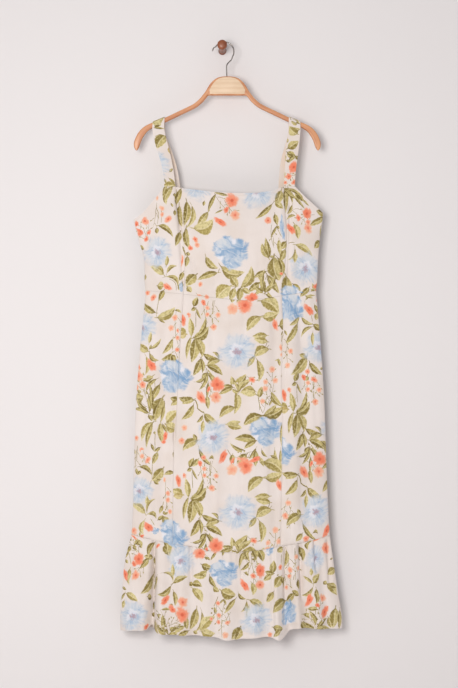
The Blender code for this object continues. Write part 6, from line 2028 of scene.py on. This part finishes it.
def make_hanger_body():
    """The wooden hanger from tip to tip, with rounded edges."""
    index = np.arange(len(ARM_ROWS))
    fine = np.linspace(0, index[-1], 5 * index[-1] + 1)
    columns = {name: smooth_value(index, column(ARM_ROWS, name), fine) for name in ArmRow._fields}
    stations = []
    for side, order in ((-1, range(len(fine) - 1, 0, -1)), (1, range(len(fine)))):
        for place in order:
            station = []
            for edge in ("top", "bottom"):
                out = HANGER_MIDDLE + side * columns[f"{edge}_out"][place]
                station.append(np.array((out, 0.0, columns[f"{edge}_height"][place])))
            taper = float(smooth_share((index[-1] - fine[place]) / TIP_ROWS))
            stations.append((*station, between(HANGER_TIP_THICKNESS, HANGER_THICKNESS, taper)))
    rings = []
    places = []
    run = 0.0
    previous = None
    for top, bottom, thickness in stations:
        middle = (top + bottom) / 2
        up = (top - bottom) / 2
        half = float(np.linalg.norm(up))
        up = up / half
        run += 0.0 if previous is None else float(np.linalg.norm(middle - previous))
        previous = middle
        corner = min(HANGER_CORNER, thickness * CORNER_OF_DEPTH, half * CORNER_OF_HEIGHT)
        ring = []
        for y, z in rounded_section(thickness / 2, half, corner, 5):
            ring.append(middle + up * z + np.array((0.0, HANGING_PLANE + y, 0.0)))
            places.append((run, z + y * GRAIN_LEAN))
        rings.append(ring)
    return loop_tube("turned_hanger", rings, finish("hanger wood"), places)


def make_inlay_plate():
    """A thin half-round plate on the front of the hanger's middle, with a soft edge."""
    rows = ARM_ROWS[:MIDDLE_ROWS]
    outs = column(rows, "top_out")
    tops = column(rows, "top_height")
    bottom = ARM_ROWS[0].bottom_height + INLAY_MARGIN
    outline = []
    for turn in np.radians(np.linspace(-90, 90, INLAY_ROUND_STEPS)):
        out = INLAY_REACH * math.sin(turn)
        full = float(smooth_value(outs, tops, abs(out) * (outs[-1] - INLAY_MARGIN) / INLAY_REACH))
        outline.append((HANGER_MIDDLE + out, max(full - INLAY_MARGIN, bottom + INLAY_CORNER)))
    left, top, right = (outline[index] for index in (0, INLAY_ROUND_STEPS // 2, -1))
    for share in (0.0, *np.linspace(0.05, 0.95, INLAY_FLAT_STEPS), 1.0):
        outline.append((between(right[0] - INLAY_CORNER, left[0] + INLAY_CORNER, share), bottom))
    middle = np.array((HANGER_MIDDLE, (bottom + top[1]) / 2))
    back = HANGING_PLANE - HANGER_THICKNESS / 2 - SEAM_GAP
    rings = []
    places = []
    for forward, shrink in INLAY_EDGE:
        ring = []
        for x, z in outline:
            offset = middle - np.array((x, z))
            moved = np.array((x, z)) + offset / np.linalg.norm(offset) * shrink
            ring.append((moved[0], back - forward, moved[1]))
            places.append((moved[0], moved[1]))
        rings.append(ring)
    piece = loop_tube("inlay_plate", rings, finish("inlay wood"), places)
    sharpen(piece, 30)
    return piece


def hook_route():
    """The middle line of the wire, from its free end over the peg to the hanger's top."""
    middle = np.array(HOOK_MIDDLE)
    radius = PEG_SHAFT_RADIUS + float(np.linalg.norm(middle)) + SEAM_GAP + WIRE_RADIUS
    route = [np.array((point.across, point.height)) for point in HOOK_END]
    for degrees in range(HOOK_ROUND_FROM, HOOK_ROUND_TO - 1, -HOOK_STEP):
        turn = math.radians(degrees)
        route.append(middle + radius * np.array((math.cos(turn), math.sin(turn))))
    route += [np.array((point.across, point.height)) for point in HOOK_NECK]
    route = np.array(route)
    lengths = np.concatenate([[0.0], np.cumsum(np.linalg.norm(np.diff(route, axis=0), axis=-1))])
    places = np.linspace(0.0, lengths[-1], WIRE_RINGS)
    x = smooth_value(lengths, route[:, 0], places)
    z = smooth_value(lengths, route[:, 1], places)
    return stacked(x, HANGING_PLANE, z)


def make_wire_hook():
    """The bent wire, with a rounded free end."""
    line = hook_route()
    ahead = np.gradient(line, axis=0)
    ahead = ahead / np.linalg.norm(ahead, axis=-1, keepdims=True)
    steps = [(0, back, size) for back, size in WIRE_END]
    steps += [(index, 0.0, 1.0) for index in range(len(line))]
    rings = []
    for index, back, size in steps:
        middle = line[index] + ahead[index] * back * WIRE_RADIUS
        side = np.array((0.0, 1.0, 0.0))
        other = np.cross(ahead[index], side)
        ring = []
        for turn in np.linspace(0, 2 * np.pi, WIRE_SIDES, endpoint=False):
            ring.append(middle + (side * math.cos(turn) + other * math.sin(turn)) * WIRE_RADIUS * size)
        rings.append(ring)
    return loop_tube("wire_hook", rings, finish("bright wire"))


TurnedRow = namedtuple("TurnedRow", "forward radius")
PEG_PROFILE = (
    TurnedRow(0.0000, PEG_BASE_RADIUS - 0.0006),
    TurnedRow(0.0004, PEG_BASE_RADIUS - 0.0002),
    TurnedRow(0.0010, PEG_BASE_RADIUS),
    TurnedRow(0.0030, PEG_BASE_RADIUS - 0.0001),
    TurnedRow(0.0050, PEG_BASE_RADIUS - 0.0008),
    TurnedRow(0.0070, PEG_SHAFT_RADIUS + 0.0003),
    TurnedRow(0.0090, PEG_SHAFT_RADIUS),
    TurnedRow(0.0330, PEG_SHAFT_RADIUS),
    TurnedRow(0.0570, PEG_SHAFT_RADIUS),
    TurnedRow(0.0582, PEG_SHAFT_RADIUS + 0.0008),
    TurnedRow(0.0594, PEG_KNOB_RADIUS - 0.0014),
    TurnedRow(0.0604, PEG_KNOB_RADIUS - 0.0004),
    TurnedRow(0.0618, PEG_KNOB_RADIUS),
    TurnedRow(0.0676, PEG_KNOB_RADIUS),
    TurnedRow(0.0692, PEG_KNOB_RADIUS - 0.0004),
    TurnedRow(0.0706, PEG_KNOB_RADIUS - 0.0012),
    TurnedRow(0.0716, PEG_KNOB_RADIUS - 0.0024),
    TurnedRow(0.0723, PEG_KNOB_RADIUS - 0.0042),
    TurnedRow(0.0728, PEG_KNOB_RADIUS - 0.0065),
    TurnedRow(0.0730, PEG_KNOB_RADIUS - 0.0095),
)


def make_turned_peg():
    """The round wooden peg, turned about the line that stands out from the wall."""
    rings = []
    for row in PEG_PROFILE:
        ring = []
        for turn in np.linspace(0, 2 * np.pi, PEG_SIDES, endpoint=False):
            ring.append((row.radius * math.cos(turn), -row.forward, row.radius * math.sin(turn)))
        rings.append(ring)
    piece = loop_tube("turned_peg", rings, finish("peg wood"))
    sharpen(piece, SHARP_EDGE)
    return piece


def new_stitch_tree():
    """Geometry nodes that lay small rounded stitches along a line."""
    tree = bpy.data.node_groups.new("stitches along a line", "GeometryNodeTree")
    tree.interface.new_socket(name="Geometry", in_out="INPUT", socket_type="NodeSocketGeometry")
    for name in ("Stitch length", "Gap", "Thread radius"):
        tree.interface.new_socket(name=name, in_out="INPUT", socket_type="NodeSocketFloat")
    tree.interface.new_socket(name="Geometry", in_out="OUTPUT", socket_type="NodeSocketGeometry")
    nodes = Nodes(tree)
    given = nodes.add("NodeGroupInput").outputs
    leave = nodes.add("NodeGroupOutput").inputs
    line = nodes.add("GeometryNodeMeshToCurve", {"Mesh": given["Geometry"]}).outputs["Curve"]
    pitch = nodes.plus(given["Stitch length"], given["Gap"])
    spaced = nodes.add("GeometryNodeResampleCurve", {"Curve": line, "Length": pitch}, mode="LENGTH")
    heading = nodes.add("GeometryNodeInputTangent").outputs["Tangent"]
    turn = nodes.add("FunctionNodeAlignRotationToVector", {"Vector": heading}, axis="Z").outputs["Rotation"]
    thread = nodes.add(
        "GeometryNodeMeshCylinder",
        {
            "Vertices": 6,
            "Side Segments": 1,
            "Radius": given["Thread radius"],
            "Depth": given["Stitch length"],
        },
        fill_type="TRIANGLE_FAN",
    ).outputs["Mesh"]
    laid = nodes.add(
        "GeometryNodeInstanceOnPoints",
        {"Points": spaced.outputs["Curve"], "Instance": thread, "Rotation": turn},
    ).outputs["Instances"]
    real = nodes.add("GeometryNodeRealizeInstances", {"Geometry": laid}).outputs["Geometry"]
    done = nodes.add("GeometryNodeSetMaterial", {"Geometry": real, "Material": finish("thread")})
    nodes.feed(leave["Geometry"], done.outputs["Geometry"])
    return tree


def stitched_line(context, name, line):
    """A row of stitches along a line of points, as one plain mesh."""
    settings = context.scene.sundress_stitching
    edges = [(index, index + 1) for index in range(len(line) - 1)]
    mesh = bpy.data.meshes.new(f"{name}_path")
    mesh.from_pydata([tuple(point) for point in line], edges, [])
    path = bpy.data.objects.new(f"{name}_path", mesh)
    context.scene.collection.objects.link(path)
    modifier = path.modifiers.new("stitches", "NODES")
    tree = bpy.data.node_groups.get("stitches along a line") or new_stitch_tree()
    modifier.node_group = tree
    values = {
        "Stitch length": settings.length,
        "Gap": settings.gap,
        "Thread radius": settings.thickness / 2,
    }
    for item in tree.interface.items_tree:
        if item.in_out == "INPUT" and item.name in values:
            modifier[item.identifier] = values[item.name]
    graph = context.evaluated_depsgraph_get()
    made = bpy.data.meshes.new_from_object(path.evaluated_get(graph))
    made.name = name
    path.modifiers.remove(modifier)
    bpy.data.objects.remove(path)
    piece = bpy.data.objects.new(name, made)
    context.scene.collection.objects.link(piece)
    made.polygons.foreach_set("use_smooth", np.ones(len(made.polygons), bool))
    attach(piece, BODY)
    return piece


def line_below(tier, edge, distance, inset, count):
    """A line of points on a tier's cloth, beside its high or its low edge. It ends a small angle
    before each side seam."""
    angle = np.linspace(tier.angles[0] - inset, tier.angles[-1] + inset, count)
    height = tier.low.at(angle) + distance if edge == "low" else tier.high.at(angle) - distance
    point = tier.shape(angle, height)
    return point + outward(tier.shape, angle, height) * STITCH_LIFT


def colour_property(name, description, red, green, blue):
    """A colour that a user would change, given from 0 to 255."""
    return FloatVectorProperty(
        name=name,
        description=description,
        subtype="COLOR",
        size=4,
        min=0.0,
        max=1.0,
        default=linear(red, green, blue),
    )


def length_property(name, description, metres):
    """A length in metres that a user would change."""
    return FloatProperty(
        name=name, description=description, default=metres, min=0.0, unit="LENGTH", precision=5
    )


class ClothSettings(bpy.types.PropertyGroup):
    """Sizes and colours of the dress's cloth and its print."""

    thickness: length_property("Cloth thickness", "Thickness of the cloth and its lining", 0.0010)
    seam_depth: length_property("Seam depth", "How far the cloth dips at a seam", 0.0020)
    ground: colour_property("Ground", "The plain cloth between the flowers", 228, 219, 214)
    # A darker, warmer copy of the ground, used as painted shade on the cloth and the lining
    ground_deep: colour_property("Ground, deeper", "The same cloth where it is warmer", 221, 210, 202)
    lining: colour_property("Lining", "The plain cloth inside", 226, 206, 187)
    leaf_light: colour_property("Leaf, light", "The pale side of the leaves", 218, 206, 154)
    leaf_middle: colour_property("Leaf, middle", "The leaves' middle tone", 180, 164, 100)
    leaf_dark: colour_property("Leaf, dark", "The dark side of the leaves", 118, 102, 46)
    leaf_warm: colour_property("Leaf, warm", "The few brown leaves", 200, 168, 116)
    leaf_edge: colour_property("Leaf, edge", "The midribs and thin edges", 230, 218, 178)
    coral: colour_property("Coral", "The strong blossoms", 235, 130, 99)
    coral_pale: colour_property("Coral, pale", "The pale blossoms and buds", 236, 190, 162)
    coral_heart: colour_property("Coral, heart", "The middle of a blossom", 196, 86, 62)
    blue_deep: colour_property("Blue, deep", "The deepest strokes of the peonies", 126, 160, 195)
    blue_middle: colour_property("Blue, middle", "The peonies' middle tone", 172, 190, 209)
    blue_pale: colour_property("Blue, pale", "The peonies' palest petals", 208, 212, 217)
    peony_white: colour_property("Peony, white", "The white round a peony's heart", 232, 230, 235)
    peony_heart: colour_property("Peony, heart", "The purple heart", 172, 140, 152)


class StitchingSettings(bpy.types.PropertyGroup):
    """Sizes and colours of the stitches."""

    length: length_property("Stitch length", "Length of one stitch", 0.0024)
    gap: length_property("Gap", "Gap between two stitches", 0.0007)
    thickness: length_property("Thread thickness", "Thickness of the thread", 0.00035)
    colour: colour_property("Thread", "The thread's colour", 238, 226, 214)
    shade: colour_property("Thread, shade", "The thread between its plies", 216, 200, 184)


class HangerSettings(bpy.types.PropertyGroup):
    """Colours of the hanger, its inlay, its wire hook and the wall peg."""

    wood: colour_property("Hanger", "The hanger's wood", 220, 160, 114)
    wood_dark: colour_property("Hanger grain", "The darker grain of the wood", 190, 122, 80)
    inlay: colour_property("Inlay", "The pale plate on the middle", 234, 208, 178)
    inlay_dark: colour_property("Inlay grain", "The plate's grain", 221, 190, 156)
    peg: colour_property("Peg", "The wall peg's wood", 150, 84, 50)
    peg_dark: colour_property("Peg grain", "The peg's darker grain", 110, 54, 28)
    wire: colour_property("Wire", "The hook's wire", 158, 152, 147)
    wire_dull: colour_property("Wire, dull", "Duller places on the wire", 112, 106, 102)


class StageSettings(bpy.types.PropertyGroup):
    """The wall, the floor, the light and the camera."""

    wall: colour_property("Wall", "The wall behind the dress", 229, 226, 226)
    floor_height: FloatProperty(
        name="Floor height", description="The floor's height", default=-1.62, unit="LENGTH"
    )
    window: FloatProperty(
        name="Window light", description="Power of the large soft light", default=36.0, min=0.0
    )
    window_colour: colour_property("Window light, colour", "The large light's colour", 255, 252, 249)
    room: FloatProperty(
        name="Room light", description="Strength of the room's light", default=0.505, min=0.0
    )
    room_colour: colour_property("Room light, colour", "The room light's colour", 252, 249, 250)
    lens: FloatProperty(
        name="Lens", description="The camera's focal length in millimetres", default=70.7, min=1.0
    )
    camera: FloatVectorProperty(
        name="Camera",
        description="Where the camera is",
        subtype="TRANSLATION",
        default=(0.0153, -3.10, -0.672),
    )


# How finely the front's panels are divided
SIDE_COLUMNS = 34
MIDDLE_COLUMNS = 66
BODICE_ROWS = 56
SKIRT_ROWS = 120

# How deep each sewn edge of a panel dips, as a share of the seam depth
BODICE_SEAMS = {"low": 0.45, "start": 1.0, "end": 1.0}
SKIRT_SEAMS = {"low": 1.0, "high": 0.45, "start": 1.0, "end": 1.0}
RUFFLE_SEAMS = {"high": 1.0, "start": 1.0, "end": 1.0}


def repeated_print(across, down, low, high):
    """The skirt's print, repeated over a piece that is wider than the chart and shows between two
    heights."""
    made = []
    for sideways in (-1, 0, 1):
        for downwards in range(-3, 3):
            lower = down + sideways * RIGHT_DOWN + downwards * REPEAT
            if CHART_LOW - lower < high + MOTIF_REACH and CHART_HIGH - lower > low - MOTIF_REACH:
                made.append(Prints(*SKIRT_PRINT, (across + sideways * RIGHT_ACROSS, lower)))
    return tuple(made)


def make_panels(context, panels, seams):
    """Makes the panels of one level of the dress, each in the place of its solid."""
    for name, tier, ends, count, prints in panels:
        piece = make_panel(context, name, tier, ends, count, prints, seams)
        declare_cloth(piece)


class SUNDRESS_OT_bodice(bpy.types.Operator):
    """Makes the bodice: its middle and side fronts and its back"""

    bl_idname = "sundress.bodice"
    bl_label = "Bodice"

    def execute(self, context):
        front = (Prints(*BODICE_PRINT, (0.0, 0.0)),)
        back = repeated_print(0.030, -0.250, -0.560, -0.330)
        side, middle = ((columns, BODICE_ROWS) for columns in (SIDE_COLUMNS, MIDDLE_COLUMNS))
        panels = (
            ("cloth_bodice_front_left", BODICE_FRONT, (LEFT_SIDE, left_seam), side, front),
            ("cloth_bodice_front_centre", BODICE_FRONT, (left_seam, right_seam), middle, front),
            ("cloth_bodice_front_right", BODICE_FRONT, (right_seam, RIGHT_SIDE), side, front),
            ("cloth_bodice_back", BODICE_BACK, (RIGHT_SIDE, BACK_LEFT_SIDE), (110, 46), back),
        )
        make_panels(context, panels, BODICE_SEAMS)
        return {"FINISHED"}


class SUNDRESS_OT_skirt(bpy.types.Operator):
    """Makes the skirt: its middle and side fronts and its back"""

    bl_idname = "sundress.skirt"
    bl_label = "Skirt"

    def execute(self, context):
        left = (Prints(*LEFT_SKIRT_PRINT, (0.0, 0.0)),)
        centre = tuple(Prints(*SKIRT_PRINT, (0.0, down)) for down in (0.0, REPEAT))
        right = (
            Prints(*RIGHT_SKIRT_PRINT, (0.0, 0.0)),
            Prints(*SKIRT_PRINT, (RIGHT_ACROSS, RIGHT_DOWN)),
        )
        back = repeated_print(-0.045, 0.140, -1.120, -0.540)
        side, middle = ((columns, SKIRT_ROWS) for columns in (SIDE_COLUMNS, MIDDLE_COLUMNS))
        panels = (
            ("cloth_skirt_front_left", SKIRT_FRONT, (LEFT_SIDE, left_seam), side, left),
            ("cloth_skirt_front_centre", SKIRT_FRONT, (left_seam, right_seam), middle, centre),
            ("cloth_skirt_front_right", SKIRT_FRONT, (right_seam, RIGHT_SIDE), side, right),
            ("cloth_skirt_back", SKIRT_BACK, (RIGHT_SIDE, BACK_LEFT_SIDE), (116, 110), back),
        )
        make_panels(context, panels, SKIRT_SEAMS)
        return {"FINISHED"}


class SUNDRESS_OT_ruffle(bpy.types.Operator):
    """Makes the gathered ruffle at the hem, front and back"""

    bl_idname = "sundress.ruffle"
    bl_label = "Ruffle"

    def execute(self, context):
        front = (Prints(*RUFFLE_PRINT, (0.0, 0.0)),)
        back = repeated_print(0.020, 0.330, -1.330, -1.100)
        panels = (
            ("cloth_ruffle_front", RUFFLE_FRONT, (LEFT_SIDE, RIGHT_SIDE), (250, 46), front),
            ("cloth_ruffle_back", RUFFLE_BACK, (RIGHT_SIDE, BACK_LEFT_SIDE), (230, 42), back),
        )
        make_panels(context, panels, RUFFLE_SEAMS)
        return {"FINISHED"}


class SUNDRESS_OT_straps(bpy.types.Operator):
    """Makes the two shoulder straps over the hanger's arms"""

    bl_idname = "sundress.straps"
    bl_label = "Shoulder straps"

    def execute(self, context):
        prints = (Prints(*STRAPS_PRINT, (0.0, 0.0)), Prints(*STRAPS_PRINT, (0.0, -0.150)))
        for name, front, back in (
            ("cloth_strap_left", LEFT_STRAP_FRONT, LEFT_STRAP_BACK),
            ("cloth_strap_right", RIGHT_STRAP_FRONT, RIGHT_STRAP_BACK),
        ):
            piece = make_strap(name, front, back, prints)
            declare_cloth(piece)
        return {"FINISHED"}


class SUNDRESS_OT_stitching(bpy.types.Operator):
    """Lays the stitches above the hem and below the neckline"""

    bl_idname = "sundress.stitching"
    bl_label = "Stitching"

    def execute(self, context):
        for name, tier, edge, distance, inset, count in (
            ("stitches_hem_front", RUFFLE_FRONT, "low", HEM_WIDTH, 0.03, 900),
            ("stitches_hem_back", RUFFLE_BACK, "low", HEM_WIDTH, 0.03, 800),
            ("stitches_top_front", BODICE_FRONT, "high", EDGE_WIDTH, 0.05, 400),
            ("stitches_top_back", BODICE_BACK, "high", EDGE_WIDTH, 0.05, 400),
        ):
            stitched_line(context, name, line_below(tier, edge, distance, inset, count))
        return {"FINISHED"}


class SUNDRESS_OT_hanger(bpy.types.Operator):
    """Makes the wooden hanger, the plate on its middle, its wire hook and the wall peg"""

    bl_idname = "sundress.hanger"
    bl_label = "Hanger, hook and peg"

    def execute(self, context):
        for make, node, slot in (
            (make_hanger_body, "hanger", "hanger_wood"),
            (make_inlay_plate, "hanger_inlay", "inlay_wood"),
            (make_wire_hook, "hook", "hook_wire"),
            (make_turned_peg, "wall_peg", "peg_wood"),
        ):
            piece = make()
            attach(piece, BODY)
            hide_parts(node)
        return {"FINISHED"}


def make_wall_finish(settings, name, see_through):
    """A plain pale finish for the wall and the floor. The wall can't be seen from behind."""
    nodes, shader = new_finish(name)
    grain = nodes.noise(own_place(nodes), 240.0, 3.0)
    broad = nodes.noise(own_place(nodes), 1.4, 1.0)
    pale = tuple(min(1.0, part * 1.03) for part in settings.wall[:3]) + (1.0,)
    colour = nodes.mix(broad, settings.wall[:], pale)
    surface(nodes, shader, colour, nodes.times_plus(grain, 0.1, 0.85), grain, 0.05, 0.001)
    if see_through:
        clear = nodes.add("ShaderNodeBsdfTransparent").outputs["BSDF"]
        behind = nodes.add("ShaderNodeNewGeometry").outputs["Backfacing"]
        choice = nodes.add("ShaderNodeMixShader", {0: behind, 1: shader.outputs["BSDF"], 2: clear})
        leave = nodes.tree.nodes["Material Output"]
        nodes.feed(leave.inputs["Surface"], choice.outputs["Shader"])
    return bpy.data.materials[name]


class SUNDRESS_OT_stage(bpy.types.Operator):
    """Sets the wall, the floor, the light and the camera"""

    bl_idname = "sundress.stage"
    bl_label = "Stage"

    def execute(self, context):
        scene = context.scene
        settings = scene.sundress_stage
        floor = settings.floor_height
        wall_points = [
            (-STAGE_REACH, WALL_FACE, floor),
            (STAGE_REACH, WALL_FACE, floor),
            (STAGE_REACH, WALL_FACE, WALL_TOP),
            (-STAGE_REACH, WALL_FACE, WALL_TOP),
        ]
        wall = mesh_object(
            "wall", wall_points, [(0, 1, 2, 3)], (make_wall_finish(settings, "plain wall", True),)
        )
        floor_points = [
            (-STAGE_REACH, FLOOR_FRONT, floor),
            (STAGE_REACH, FLOOR_FRONT, floor),
            (STAGE_REACH, FLOOR_BACK, floor),
            (-STAGE_REACH, FLOOR_BACK, floor),
        ]
        ground = mesh_object(
            "floor", floor_points, [(0, 1, 2, 3)], (make_wall_finish(settings, "plain floor", False),)
        )

        world = scene.world or bpy.data.worlds.new("room")
        scene.world = world
        world.use_nodes = True
        background = world.node_tree.nodes["Background"]
        background.inputs["Color"].default_value = settings.room_colour[:]
        background.inputs["Strength"].default_value = settings.room

        light = bpy.data.lights.new("window", "AREA")
        light.shape = "RECTANGLE"
        light.size = WINDOW_SIZE
        light.size_y = WINDOW_SIZE
        light.energy = settings.window
        light.color = settings.window_colour[:3]
        window = bpy.data.objects.new("window", light)
        window.location = WINDOW_PLACE
        aim = Vector(WINDOW_AIM) - window.location
        window.rotation_euler = aim.to_track_quat("-Z", "Y").to_euler()
        scene.collection.objects.link(window)

        view = bpy.data.cameras.new("camera")
        view.sensor_fit = "AUTO"
        view.sensor_width = 36.0
        view.lens = settings.lens
        view.clip_start = 0.05
        view.clip_end = 40.0
        camera = bpy.data.objects.new("camera", view)
        camera.location = settings.camera
        camera.rotation_euler = (math.radians(90), 0.0, 0.0)
        scene.collection.objects.link(camera)
        scene.camera = camera
        scene.view_settings.view_transform = "Standard"
        scene.view_settings.look = "None"
        return {"FINISHED"}


class SUNDRESS_PT_sidebar(bpy.types.Panel):
    """Lists the dress's pieces and their settings in the sidebar"""

    bl_label = "Sundress"
    bl_idname = "SUNDRESS_PT_sidebar"
    bl_space_type = "VIEW_3D"
    bl_region_type = "UI"
    bl_category = "Sundress"

    def draw(self, context):
        layout = self.layout
        for operator in OPERATORS:
            layout.operator(operator.bl_idname)
        for settings in (
            context.scene.sundress_cloth,
            context.scene.sundress_stitching,
            context.scene.sundress_hanger,
            context.scene.sundress_stage,
        ):
            box = layout.box()
            for name in settings.__annotations__:
                box.prop(settings, name)


OPERATORS = (
    SUNDRESS_OT_bodice,
    SUNDRESS_OT_skirt,
    SUNDRESS_OT_ruffle,
    SUNDRESS_OT_straps,
    SUNDRESS_OT_stitching,
    SUNDRESS_OT_hanger,
    SUNDRESS_OT_stage,
)
SETTINGS = {
    "sundress_cloth": ClothSettings,
    "sundress_stitching": StitchingSettings,
    "sundress_hanger": HangerSettings,
    "sundress_stage": StageSettings,
}


def register():
    for made in (*SETTINGS.values(), *OPERATORS, SUNDRESS_PT_sidebar):
        bpy.utils.register_class(made)
    for name, made in SETTINGS.items():
        setattr(bpy.types.Scene, name, PointerProperty(type=made))


def unregister():
    for name in SETTINGS:
        delattr(bpy.types.Scene, name)
    for made in reversed((*SETTINGS.values(), *OPERATORS, SUNDRESS_PT_sidebar)):
        bpy.utils.unregister_class(made)


def main():
    """Makes every piece and the stage."""
    register()
    bpy.ops.sundress.bodice()
    bpy.ops.sundress.skirt()
    bpy.ops.sundress.ruffle()
    bpy.ops.sundress.straps()
    bpy.ops.sundress.stitching()
    bpy.ops.sundress.hanger()
    bpy.ops.sundress.stage()


if __name__ == "__main__":
    main()
